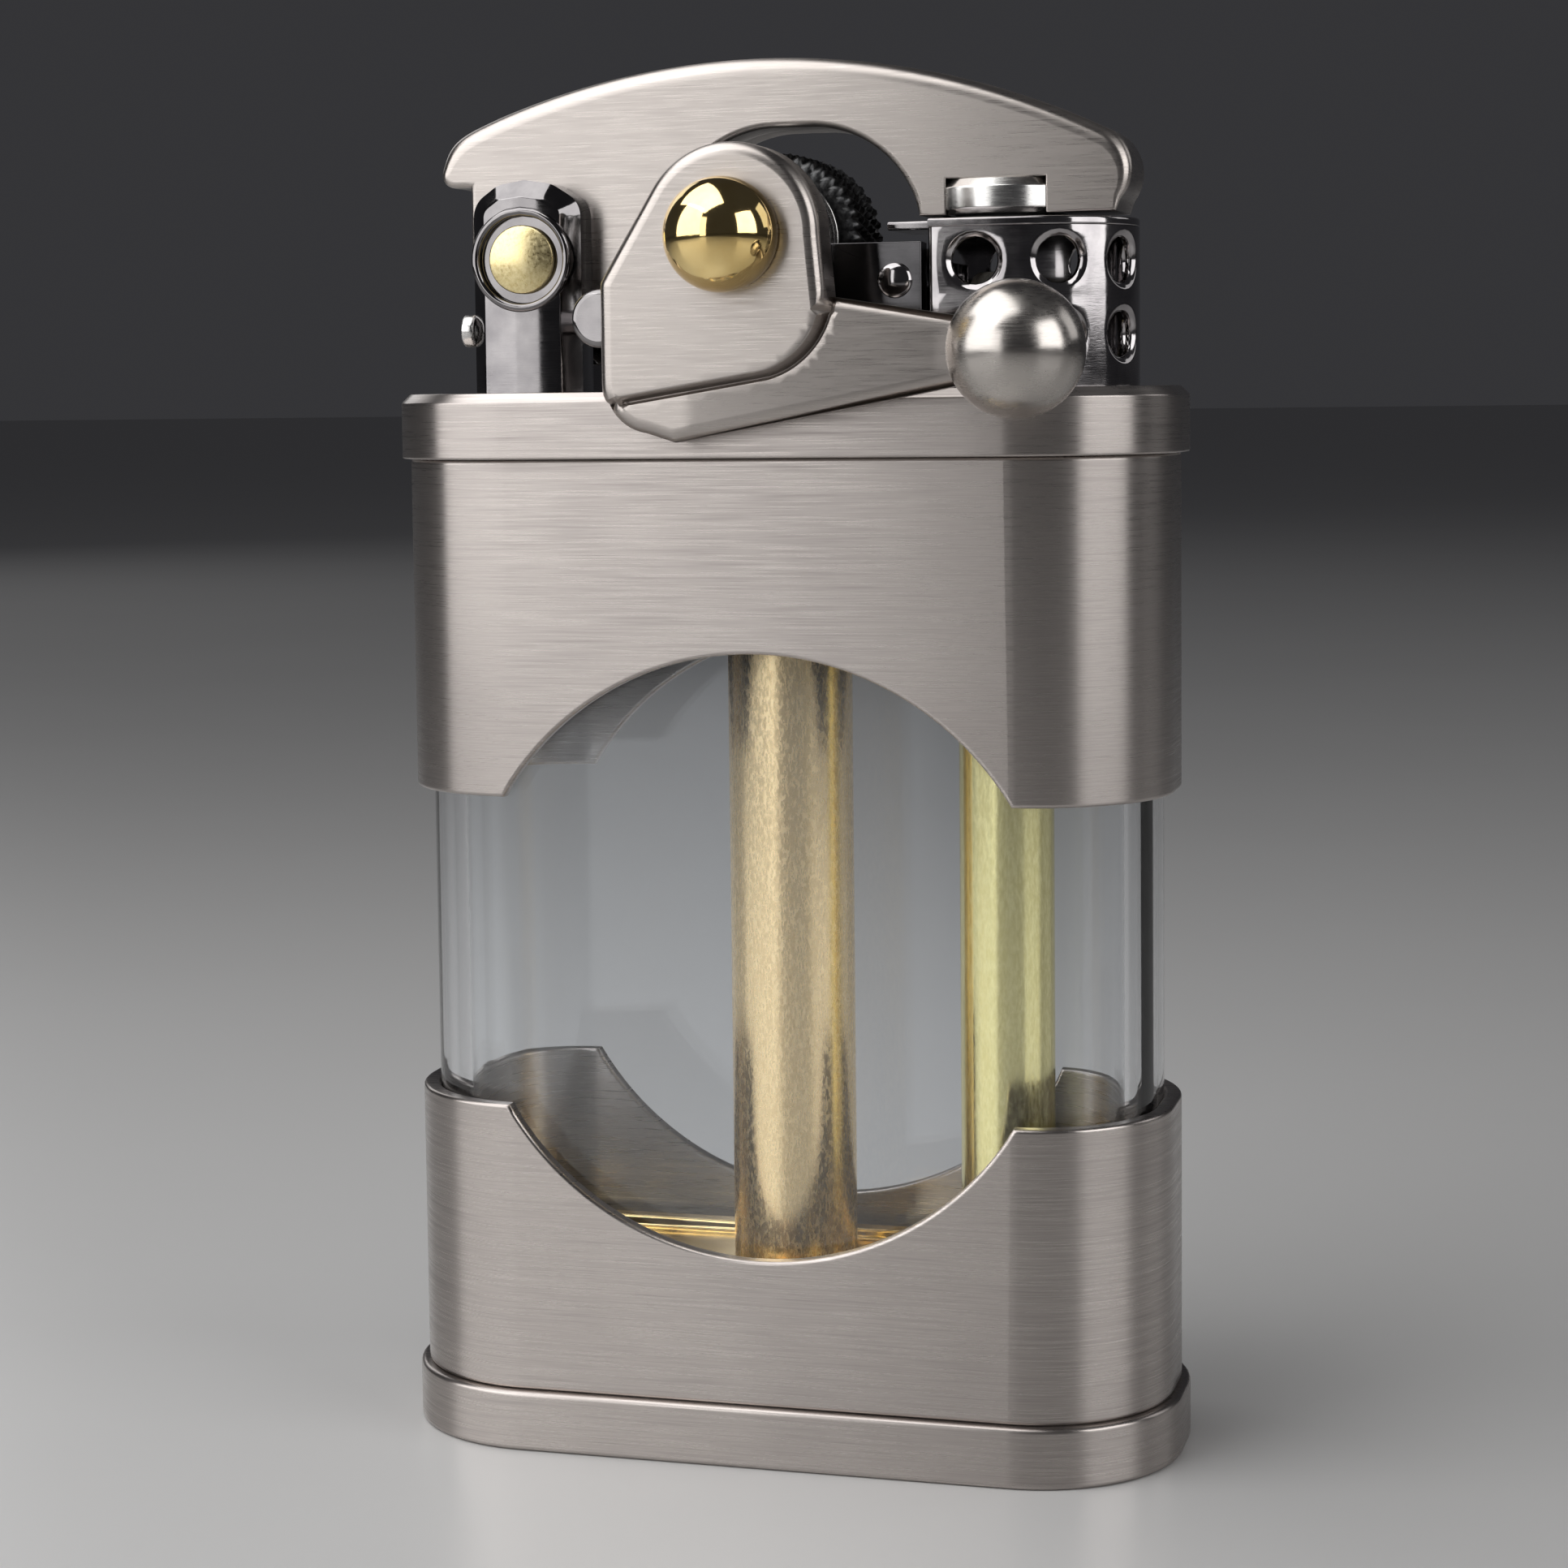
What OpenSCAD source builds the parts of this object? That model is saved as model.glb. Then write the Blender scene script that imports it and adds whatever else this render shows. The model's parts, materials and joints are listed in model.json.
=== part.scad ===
// Pocket petrol lighter with a see-through tank, a flint wheel, a lift arm with a snuffer and a
// rocker lever with a ball knob. Pressing the knob turns the wheel and lifts the arm off the wick.
// Millimetres. +X is to the right seen from the lever side, +Y to the back, +Z up.
// The origin is the middle of the foot's underside.

/* [Case] */
// Width of the two collars
collar_w = 36; // [34:0.5:42]
// Depth of the two collars
collar_d = 15; // [14.4:0.2:18]
// Radius of the collars' upright corners
corner_r = 6.5; // [5:0.1:7]
// Sheet thickness of the collars
collar_wall = 0.75; // [0.6:0.05:1.1]
// How far the foot and the deck stand out past the collars
lip = 0.4; // [0.2:0.05:0.8]
// Height of the foot plate
foot_h = 2.8; // [2.8:0.1:4.5]
// Height of the lower collar at its ends
lower_collar_h = 13.4; // [12.4:0.1:18]
// Height of bare glass between the two collars
window_gap = 14.3; // [10:0.1:18]
// Height of the upper collar at its ends
upper_collar_h = 15.4; // [13:0.1:20]
// Radius of the round window that cuts both collars
window_r = 13.8; // [12:0.1:14.2]
// Height of the deck cap
deck_h = 3; // [2.4:0.1:4]

/* [Tank] */
// Wall of the glass tank
glass_wall = 1.5; // [1:0.1:2]
// Gap between the glass and the collars
glass_gap = 0.05; // [0.02:0.01:0.12]
// Height of the rubber seals under and over the glass
seal_h = 0.8; // [0.5:0.1:1.2]
// Height of the flange of the tank floor and of the tank ceiling
flange_h = 1.7; // [1.2:0.1:2.4]
// How far the tank floor reaches up inside the glass
floor_plug_h = 3.1; // [2:0.1:3.4]
// How far the tank ceiling reaches down inside the glass
ceiling_plug_h = 2.6; // [1.5:0.1:4]
// Gap between both plugs and the inside of the glass
plug_gap = 0.1; // [0.05:0.01:0.2]
// Gap around each piece that is pressed or cemented in place
seat_gap = 0.02; // [0.01:0.005:0.04]

/* [Tubes] */
// Radius of the flint tube
flint_tube_r = 2.9; // [2.4:0.05:3.1]
// Radius of the bore of the flint tube
flint_bore_r = 1.3; // [1.2:0.05:1.5]
// Distance of the wick from the deck's right end
wick_in = 8.2; // [7.6:0.05:8.2]
// Radius of the wick tube
wick_tube_r = 2.15; // [1.9:0.05:2.2]
// Wall of the wick tube
wick_tube_wall = 0.5; // [0.3:0.05:0.7]
// How far the wick tube stops over the tank floor
wick_tube_rise = 0.8; // [0.4:0.1:0.9]
// How far the wick tube stands up over the deck
wick_tube_top = 1.7; // [1:0.1:2.5]
// How far the wick stands up over the deck
wick_top = 5.2; // [4:0.1:5.8]

/* [Flint feed] */
// Radius of the flint
flint_r = 1.2; // [1:0.05:1.25]
// Length of the flint
flint_l = 6; // [3:0.5:8]
// Gap between the flint and the wheel
flint_gap = 0.3; // [0.2:0.05:0.5]
// How far the flint stands out of its tube
flint_show = 0.3; // [0.1:0.05:0.5]
// How far the flint screw stops below the top of the tank floor
screw_sink = 0.6; // [0.2:0.1:1.5]
// Thickness of the plunger under the flint
plunger_h = 2.2; // [1.5:0.1:3]
// Length of the guide stems inside both ends of the flint spring
stem_l = 1.6; // [1:0.1:2.5]
// Radius of the guide stems
stem_r = 0.5; // [0.35:0.05:0.55]
// Radius of the spring's wire
spring_wire_r = 0.17; // [0.12:0.01:0.2]
// Radius from the spring's axis to the middle of its wire
spring_r = 0.95; // [0.85:0.01:1]
// Number of curls in the flint spring
spring_curls = 24; // [16:1:30]

/* [Screws in the foot] */
// Radius of the flint screw's head
flint_head_r = 2.6; // [2:0.1:3.2]
// Place of the filler screw to the right of the middle
filler_x = -9.5; // [-10:0.1:-8.5]
// Radius of the filler screw's head
filler_head_r = 3; // [2.9:0.1:3.4]
// Radius of the filler screw's shank
filler_shank_r = 2.2; // [1.8:0.1:2.2]
// Thickness of both heads
head_h = 1.2; // [0.8:0.1:1.2]
// How far both heads lie above the foot's underside
head_sink = 0.5; // [0.3:0.1:0.6]
// How far the filler screw stops below the top of the tank floor
filler_sink = 1; // [0.5:0.1:2]
// Gap around the O-ring in its groove
oring_gap = 0.05; // [0.02:0.01:0.08]
// Radius of the O-ring's section
oring_r = 0.25; // [0.2:0.01:0.28]
// Width of the screwdriver slots
slot_w = 0.7; // [0.5:0.1:1]
// Depth of the screwdriver slots
slot_d = 0.6; // [0.3:0.1:0.7]
// Gap between the heads and their wells
head_gap = 0.15; // [0.1:0.05:0.3]
// Running gap around everything that turns or slides
run_gap = 0.05; // [0.03:0.01:0.07]

/* [Hinge post] */
// Place of the hinge pin to the right of the middle
hinge_x = -11.4; // [-12:0.05:-11.2]
// Height of the hinge pin over the deck
hinge_rise = 6.1; // [5.8:0.05:6.5]
// Width of the hinge post
post_w = 5.2; // [4.8:0.1:5.6]
// Depth of the hinge post
post_d = 10; // [9:0.1:11]
// Radius of the post's upright edges
post_edge_r = 1; // [0.5:0.1:1.4]
// Radius of the post's arched top
post_arch_r = 4; // [3.2:0.1:6]
// How far the arched top stands over the hinge pin
post_crown = 3.65; // [3:0.05:3.9]
// Thickness of the post's solid base
post_base_h = 1.3; // [1:0.1:1.5]
// Radius of the post's tenon in the deck
tenon_r = 1.5; // [1:0.1:1.8]
// Length of the post's tenon
tenon_l = 2; // [1:0.1:2.2]
// Radius of the hinge pin
pin_r = 1.1; // [0.8:0.05:1.2]
// Radius of the hinge pin's head
pin_head_r = 1.57; // [1.4:0.01:1.7]
// Thickness of the hinge pin's head
pin_head_h = 0.65; // [0.5:0.05:0.9]
// Radius of the well around the pin's head
pin_well_r = 2; // [1.85:0.05:2.2]
// Depth of the well around the pin's head
pin_well_d = 0.5; // [0.3:0.05:0.8]
// Radius of the small screw head on the post's left side
post_screw_r = 0.75; // [0.6:0.05:0.9]
// Height of that screw over the deck
post_screw_rise = 2.9; // [2.4:0.1:3.2]
// Thickness of that screw's head
post_screw_h = 0.6; // [0.4:0.05:0.9]
// Length of that screw in the post
post_screw_l = 2; // [1:0.1:2.4]
// Thickness of the detent leaf under the arm
leaf_t = 0.3; // [0.2:0.05:0.4]
// Width of the detent leaf
leaf_w = 3.2; // [2.4:0.1:4]
// How far the leaf's ends stay inside the post's sides
leaf_in = 0.4; // [0.2:0.1:0.8]
// Gap between the leaf and the arm's hub
leaf_gap = 0.3; // [0.25:0.05:0.4]

/* [Lift arm] */
// Thickness of the lift arm
arm_t = 4.4; // [4:0.1:4.6]
// Side gap between the arm and the post
arm_side_gap = 0.06; // [0.04:0.01:0.15]
// Height of the arm's crown over the deck
crown_rise = 15.1; // [14.6:0.1:17]
// Radius of the arm's long top curve
crown_r = 36.5; // [33:0.5:45]
// Place of the crown's highest point to the right of the middle
crown_x = -0.8; // [-2:0.1:1]
// Reach of the arm to the left of the hinge pin
arm_left = 4.9; // [4.4:0.1:6]
// Reach of the arm to the right of the wick
arm_right = 6.1; // [5:0.1:7]
// Underside of the arm's left tip over the hinge pin
tip_rise = 3.5; // [3.2:0.1:3.9]
// Radius of the arm's left tip
tip_r = 0.7; // [0.4:0.1:1]
// Radius of the arm's right end
arm_end_r = 2; // [1.5:0.1:2.2]
// How far the right end is drawn in at its underside
end_undercut = 0.7; // [0.4:0.1:1]
// Radius of the arm's hub
hub_r = 3.4; // [3:0.1:3.6]
// Distance from the hinge pin to the drive stud
stud_reach = 5.9; // [5.7:0.05:6]
// Angle of the drive stud below the hinge pin
stud_angle = 29; // [26:0.5:33]
// Radius of the arm around the drive stud
stud_boss_r = 1; // [0.8:0.05:1.1]
// Radius of the drive stud's shank
stud_shank_r = 0.6; // [0.4:0.05:0.7]
// Radius of the drive stud's round head
stud_head_r = 1.3; // [1:0.05:1.35]
// Length of the drive stud's head
stud_head_l = 1.3; // [0.9:0.05:1.4]
// Length of the shank inside the arm
stud_seat = 3; // [2:0.1:3.6]
// Gap between the wheel and the arch in the arm
arch_gap = 1.1; // [0.8:0.05:1.3]
// How far the arch is drawn out to the right
arch_len = 1.6; // [1:0.1:1.8]
// Lift of the arm at its limit in degrees
arm_lift = 60; // [40:1:60]

/* [Snuffer] */
// Radius of the snuffer cap
cap_r = 3.15; // [2.9:0.05:3.4]
// Thickness of the snuffer cap
cap_h = 1.6; // [1.2:0.1:2]
// Bevel on the snuffer cap's top edge
cap_bevel = 0.3; // [0.1:0.05:0.5]
// Radius of the seal under the cap
snuff_seal_r = 2.3; // [1.8:0.05:2.4]
// Thickness of the seal under the cap
snuff_seal_h = 0.7; // [0.4:0.05:0.8]
// Radius of the rivet that holds the cap
rivet_r = 0.9; // [0.6:0.05:1.1]
// Length of the rivet above the cap
rivet_l = 1.8; // [1:0.1:2.4]
// Length of the rivet inside the cap
rivet_seat = 1.2; // [0.8:0.1:1.2]
// Gap between the chimney's lid and the arm's pad
pad_gap = 0.25; // [0.2:0.05:0.4]

/* [Chimney] */
// Distance of the chimney from the deck's right end
chimney_in = 2.1; // [2.05:0.05:2.2]
// Length of the chimney
chimney_l = 8.7; // [8:0.1:9.4]
// Depth of the chimney
chimney_d = 9.2; // [8.4:0.1:10]
// Sheet thickness of the chimney
chimney_wall = 0.45; // [0.35:0.05:0.5]
// Height of the chimney wall
chimney_h = 7.1; // [6.8:0.1:8]
// Thickness of the lid
lid_t = 0.4; // [0.3:0.05:0.6]
// Radius of the flame hole in the lid
flame_r = 2.65; // [2.55:0.05:2.8]
// Reach of the lid's tongue towards the wheel
tongue_l = 2.3; // [1:0.1:2.4]
// Width of the tongue
tongue_w = 5; // [3:0.1:6]
// Radius of the air holes
air_r = 1.03; // [0.7:0.01:1.15]
// Number of air holes in each row around the round end
air_count = 4; // [2:1:4]
// Height of the lower row of air holes over the deck
air_low = 2.3; // [1.8:0.1:2.5]
// Height of the upper row of air holes over the deck
air_high = 5.6; // [5:0.1:5.8]
// Angle between neighbouring air holes on the round end
air_step = 46; // [40:1:46]
// Width of the spark window in the chimney's left face
spark_w = 4; // [2:0.1:5]

/* [Striker] */
// Height of the wheel's axle over the deck
axle_rise = 6.7; // [6.6:0.05:7.2]
// Radius of the axle
axle_r = 0.9; // [0.6:0.05:1]
// Radius of the flint wheel
wheel_r = 4.1; // [3.8:0.05:4.2]
// Width of the flint wheel
wheel_w = 4.8; // [4.4:0.1:5]
// Number of teeth around the flint wheel
wheel_teeth = 40; // [24:1:48]
// Depth of the wheel's teeth
tooth_d = 0.3; // [0.15:0.05:0.4]
// Radius of the ratchet ring
ratchet_r = 2.6; // [2.4:0.05:2.65]
// Number of ratchet teeth
ratchet_teeth = 12; // [8:1:16]
// Depth of the ratchet teeth
ratchet_d = 0.4; // [0.2:0.05:0.5]
// Thickness of the ratchet ring
ratchet_t = 0.5; // [0.4:0.05:0.6]
// Thickness of the pawl plate
pawl_t = 0.25; // [0.2:0.05:0.3]
// Radius of the pawl plate
pawl_r = 3.2; // [3.15:0.05:3.4]
// Gap between the pawl's finger and the ratchet
pawl_gap = 0.15; // [0.1:0.01:0.2]
// Side gap between neighbouring turning pieces
side_gap = 0.1; // [0.05:0.01:0.15]
// Width of the pawl's finger
finger_w = 1; // [0.6:0.1:1.4]
// Reach of the yoke's floor to the left of the flint tube
yoke_flange = 1.2; // [0.8:0.1:1.6]
// Sheet thickness of the wheel yoke
yoke_t = 1.2; // [0.8:0.1:1.4]
// Thickness of the yoke's floor
yoke_floor = 0.8; // [0.6:0.1:1]
// Radius of the yoke's cheeks around the axle
cheek_r = 3; // [2.6:0.1:3.2]
// Height of the yoke's right half over the deck
guide_rise = 6.5; // [6:0.1:6.7]
// Gap between the yoke and the chimney
yoke_gap = 0.3; // [0.2:0.05:0.5]
// Radius of the cross pin through both cheeks
cross_r = 0.5; // [0.4:0.05:0.6]
// Radius of the cross pin's heads
cross_head_r = 0.8; // [0.65:0.05:0.95]
// Thickness of the cross pin's heads
cross_head_h = 0.3; // [0.2:0.05:0.4]
// Distance of the cross pin from the yoke's right end
cross_in = 1.2; // [1.1:0.1:1.4]
// Height of the cross pin over the deck
cross_rise = 4.8; // [4:0.1:5]
// Radius of the drive sleeve
sleeve_r = 1.9; // [1.6:0.05:2]
// Radius of the clip on the axle's back end
clip_r = 1.7; // [1.4:0.05:2]
// Thickness of the clip
clip_t = 0.5; // [0.3:0.05:0.7]
// Width of the clip's mouth
clip_mouth = 1.25; // [0.9:0.05:1.5]
// Radius of the lever spring's wire
coil_wire_r = 0.2; // [0.15:0.01:0.22]
// Radius from the axle to the middle of the lever spring's wire
coil_r = 2.45; // [2.3:0.05:2.8]
// Number of curls in the lever spring
coil_curls = 3; // [2:1:3]

/* [Lever] */
// Gap between the deck's front and the back of the lever
lever_gap = 0.2; // [0.15:0.05:0.4]
// Thickness of the lever's arm
lever_t = 1.9; // [1.7:0.1:2.4]
// How far the raised pad stands over the lever's arm
pad_t = 0.5; // [0.3:0.05:0.8]
// Radius of the lever's round head
lever_head_r = 4.05; // [3.6:0.05:4.4]
// Reach of the lever to the left of its pivot
lever_left = 5.9; // [5.5:0.1:6.2]
// Reach of the lever's lowest corner below its pivot
lever_drop = 8.95; // [8.4:0.05:9.5]
// Reach of the lever's upper left corner below its pivot
ear_drop = 2.1; // [1.8:0.1:2.4]
// Radius of the lever's upper left corner
ear_r = 0.6; // [0.3:0.1:1]
// Radius of the lever's heel at the lower left
heel_r = 2.2; // [1.8:0.1:2.6]
// How far the heel's round stays above the lowest corner
heel_rise = 0.4; // [0.2:0.05:0.6]
// Place of the lowest corner to the right of the lever's left side
toe_x = 3.2; // [2.8:0.1:3.6]
// Where the lever's arm leaves the round head, below the pivot
shoulder_drop = 2.7; // [2.4:0.1:3]
// How far the lever's arm swells past the round head there
shoulder_out = 0.25; // [0.1:0.05:0.4]
// How far the lever's arm stops short of the knob's middle
neck_in = 2; // [1.6:0.1:2.4]
// Reach of the pad's lower left corner below the pivot
pad_drop = 7.35; // [7:0.05:7.6]
// Radius of the pad's swept lower edge
pad_sweep_r = 3.7; // [3.6:0.05:4]
// Middle of that sweep to the right of the pivot
pad_sweep_x = 0.6; // [0.5:0.05:0.8]
// Middle of that sweep below the pivot
pad_sweep_drop = 2.4; // [2.2:0.1:2.6]
// Place of the knob to the right of the pivot
knob_x = 12.8; // [12:0.1:14]
// Place of the knob below the pivot
knob_drop = 5.1; // [4.8:0.1:5.6]
// Radius of the knob
knob_r = 2.97; // [2.7:0.01:3.2]
// Height of the lever's arm where it meets the knob
lever_end_h = 2.7; // [2.2:0.1:3]
// Radius of the tenon that holds the knob
knob_tenon_r = 0.6; // [0.4:0.05:0.65]
// Depth of that tenon in the knob
knob_tenon_l = 2; // [1.2:0.1:2.4]
// How far that tenon reaches back into the lever's arm
tenon_grip = 0.6; // [0.4:0.05:0.7]
// Angle of that tenon to the lever
tenon_lean = 40; // [36:1:44]
// Radius of the round pivot cap
cap_ball_r = 2.5; // [2.2:0.05:2.8]
// How far the pivot cap's centre stands in front of the pad
cap_ball_out = 0.9; // [0.5:0.05:1.2]
// Gap around the drive stud in the lever's cam pocket
cam_gap = 0.15; // [0.1:0.01:0.25]
// Travel of the lever in degrees
lever_press = 50; // [36:1:50]

/* [Hidden] */
$fn = 64;
eps = 0.01;
// Rings in each curl of a spring
rings = 8;
// Share of a saw tooth's step that its long flank takes
flank = 0.9;

// Levels of the case
lower_top = foot_h + lower_collar_h;
upper_bottom = lower_top + window_gap;
deck_bottom = upper_bottom + upper_collar_h;
deck_z = deck_bottom + deck_h;
window_z = (lower_top + upper_bottom) / 2;
case_front = collar_d / 2 + lip;
case_right = collar_w / 2 + lip;
wick_x = case_right - wick_in;
chimney_x = case_right - chimney_in - chimney_l;

// Sizes of the glass tank
glass_inset = collar_wall + glass_gap;
glass_bottom = foot_h + flange_h + seal_h;
glass_top = deck_bottom - flange_h - seal_h;
bore_inset = glass_inset + glass_wall;
plug_inset = bore_inset + plug_gap;
floor_z = glass_bottom + floor_plug_h;
ceiling_z = glass_top - ceiling_plug_h;

// Striker and flint feed
axle_z = deck_z + axle_rise;
wheel_half = wheel_w / 2;
flint_tip = axle_z - wheel_r - flint_gap;
flint_foot = flint_tip - flint_l;
plunger_foot = flint_foot - plunger_h;
flint_screw_top = floor_z - screw_sink;
head_top = head_sink + head_h;
oring_room = 2 * oring_r + oring_gap;
tube_top = flint_tip - flint_show;
ratchet_y = -wheel_half - ratchet_t;
pawl_y = ratchet_y - side_gap - pawl_t;
cheek_in = -pawl_y + side_gap;
cheek_out = cheek_in + yoke_t;
yoke_right = chimney_x - yoke_gap;
yoke_left = -flint_tube_r - yoke_flange;

// Lever
lever_back = -case_front - lever_gap;
lever_face = lever_back - lever_t;
pad_face = lever_face - pad_t;
knob_y = lever_back - knob_r;
knob_z = axle_z - knob_drop;

// Lift arm
hinge_z = deck_z + hinge_rise;
slot_half = arm_t / 2 + arm_side_gap;
slot_floor = deck_z + post_base_h;
crown_z = deck_z + crown_rise;
tip_z = hinge_z + tip_rise;
lid_z = deck_z + chimney_h;
pad_z = lid_z + lid_t + pad_gap;
arch_r = wheel_r + arch_gap;
arm_end = wick_x + arm_right;
crown_mid = crown_z - crown_r;
arm_end_x = arm_end - arm_end_r;
arm_end_z = crown_mid + sqrt(pow(crown_r - arm_end_r, 2) - pow(arm_end_x - crown_x, 2));
stud_x = hinge_x + stud_reach * cos(stud_angle);
stud_z = hinge_z - stud_reach * sin(stud_angle);
lift_ratio = arm_lift / lever_press;

// Points along an arc in the drawing plane
function arc(x, y, r, from, to, steps = 24) =
    [for (i = [0 : steps]) let (a = from + (to - from) * i / steps) [x + r * cos(a), y + r * sin(a)]];

// A point turned by an angle about the origin
function turned(p, a) = [p[0] * cos(a) - p[1] * sin(a), p[0] * sin(a) + p[1] * cos(a)];

function unit(v) = v / norm(v);

// Rounded rectangle, drawn in by an inset from the collar's outline
module case_outline(inset = 0) {
    w = collar_w - 2 * inset;
    d = collar_d - 2 * inset;
    r = max(corner_r - inset, 1);
    square([w - 2 * r, d], center = true);
    square([w, d - 2 * r], center = true);
    for (sx = [-1, 1], sy = [-1, 1]) translate([sx * (w / 2 - r), sy * (d / 2 - r)]) circle(r);
}

module case_block(inset, bottom, top) {
    translate([0, 0, bottom]) linear_extrude(top - bottom) case_outline(inset);
}

module case_ring(outer, inner, bottom, top) {
    difference() {
        case_block(outer, bottom, top);
        case_block(inner, bottom - eps, top + eps);
    }
}

// Upright cylinder between two heights
module upright(x, r, bottom, top, y = 0) {
    translate([x, y, bottom]) cylinder(r = r, h = top - bottom);
}

// Cylinder along Y between two depths
module across(x, z, r, front, back) {
    translate([x, back, z]) rotate([90, 0, 0]) cylinder(r = r, h = back - front);
}

// Drawing in the X and Z plane, made solid between two depths
module plate(front, back) {
    translate([0, back, 0]) rotate([90, 0, 0]) linear_extrude(back - front) children();
}

// Round window through both collars
module window_cut() {
    across(0, window_z, window_r, -collar_d, collar_d);
}

// Slot across the underside of a screw's head
module screw_slot(x, r) {
    translate([x - r - eps, -slot_w / 2, head_sink - eps]) cube([2 * (r + eps), slot_w, slot_d + eps]);
}

// One tube along a path; out gives the direction away from the coil's axis at each point
module tube_along(path, out, r, sides = 6) {
    last = len(path) - 1;
    points = [for (i = [0 : last]) let (
            t = unit(path[min(i + 1, last)] - path[max(i - 1, 0)]),
            u = unit(out[i] - (out[i] * t) * t),
            v = cross(t, u))
        for (k = [0 : sides - 1]) path[i] + r * (cos(360 * k / sides) * u + sin(360 * k / sides) * v)];
    walls = [for (i = [0 : last - 1], k = [0 : sides - 1]) let (
            a = i * sides + k,
            b = i * sides + (k + 1) % sides)
        each [[a, a + sides, b], [b, a + sides, b + sides]]];
    caps = [for (k = [1 : sides - 2]) each [[0, k, k + 1],
            [last * sides, last * sides + k + 1, last * sides + k]]];
    polyhedron(points, concat(walls, caps));
}

// Least distance between points of a path that lie over half a turn apart, less the wire itself
function least_gap(path, turn, r) =
    min([for (i = [0 : len(path) - 1 - turn], j = [i + turn / 2 : min(i + turn + 4, len(path) - 1)])
        norm(path[i] - path[j])]) - 2 * r;

module foot_plate() {
    color("#8d8580") difference() {
        case_block(-lip, 0, foot_h);
        upright(0, flint_head_r + head_gap, -eps, head_top + run_gap);
        upright(0, flint_bore_r + run_gap, -eps, foot_h + eps);
        upright(filler_x, filler_head_r + head_gap, -eps, head_top + oring_room);
        upright(filler_x, filler_shank_r + run_gap, -eps, foot_h + eps);
    }
}

module lower_collar() {
    color("#8f8781") difference() {
        case_ring(0, collar_wall, foot_h, lower_top);
        window_cut();
    }
}

module upper_collar() {
    color("#8f8781") difference() {
        case_ring(0, collar_wall, upper_bottom, deck_bottom);
        window_cut();
    }
}

module tank_floor() {
    color("#c9a24e") difference() {
        union() {
            case_block(glass_inset, foot_h, foot_h + flange_h);
            case_block(plug_inset, foot_h, floor_z);
        }
        upright(0, flint_tube_r + seat_gap, foot_h - eps, floor_z + eps);
        upright(filler_x, filler_shank_r + run_gap, foot_h - eps, floor_z + eps);
    }
}

module lower_seal() {
    color("#26241f") case_ring(glass_inset, bore_inset, foot_h + flange_h, glass_bottom);
}

module tank_glass() {
    color([0.85, 0.9, 0.95, 0.35]) case_ring(glass_inset, bore_inset, glass_bottom, glass_top);
}

module upper_seal() {
    color("#26241f") case_ring(glass_inset, bore_inset, glass_top, deck_bottom - flange_h);
}

module tank_ceiling() {
    color("#c9a24e") difference() {
        union() {
            case_block(glass_inset, deck_bottom - flange_h, deck_bottom);
            case_block(plug_inset, ceiling_z, deck_bottom);
        }
        upright(0, flint_tube_r + seat_gap, ceiling_z - eps, deck_bottom + eps);
        upright(wick_x, wick_tube_r + seat_gap, ceiling_z - eps, deck_bottom + eps);
    }
}

module deck_cap() {
    color("#8d8580") difference() {
        case_block(-lip, deck_bottom, deck_z);
        upright(0, flint_tube_r + seat_gap, deck_bottom - eps, deck_z + eps);
        upright(wick_x, wick_tube_r + seat_gap, deck_bottom - eps, deck_z + eps);
        upright(hinge_x, tenon_r + seat_gap, deck_z - tenon_l - seat_gap, deck_z + eps);
    }
}

module flint_tube() {
    color("#d3a860") difference() {
        upright(0, flint_tube_r, foot_h, tube_top);
        upright(0, flint_bore_r, foot_h - eps, tube_top + eps);
    }
}

module wick_tube() {
    color("#cdb94f") difference() {
        upright(wick_x, wick_tube_r, floor_z + wick_tube_rise, deck_z + wick_tube_top);
        upright(wick_x, wick_tube_r - wick_tube_wall, floor_z, deck_z + wick_tube_top + eps);
    }
}

module wick() {
    color("#d9d2c4") upright(wick_x, wick_tube_r - wick_tube_wall - seat_gap,
                             floor_z + wick_tube_rise, deck_z + wick_top);
}

module flint_spring() {
    wire = 2 * spring_wire_r;
    low = flint_screw_top + wire;
    high = plunger_foot - wire;
    steps = spring_curls * rings;
    turns = [for (i = [0 : steps]) 360 * i / rings];
    coil = [for (i = [0 : steps]) [spring_r * cos(turns[i]), spring_r * sin(turns[i]),
                                   low + (high - low) * i / steps]];
    start = [spring_r, 0, flint_screw_top];
    end = [spring_r, 0, plunger_foot];
    path = concat([start], coil, [end]);
    out = concat([[1, 0, 0]], [for (a = turns) [cos(a), sin(a), 0]], [[1, 0, 0]]);
    echo(flint_spring_gap = least_gap(coil, rings, spring_wire_r));
    color("#a9adb0") tube_along(path, out, spring_wire_r);
}

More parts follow.
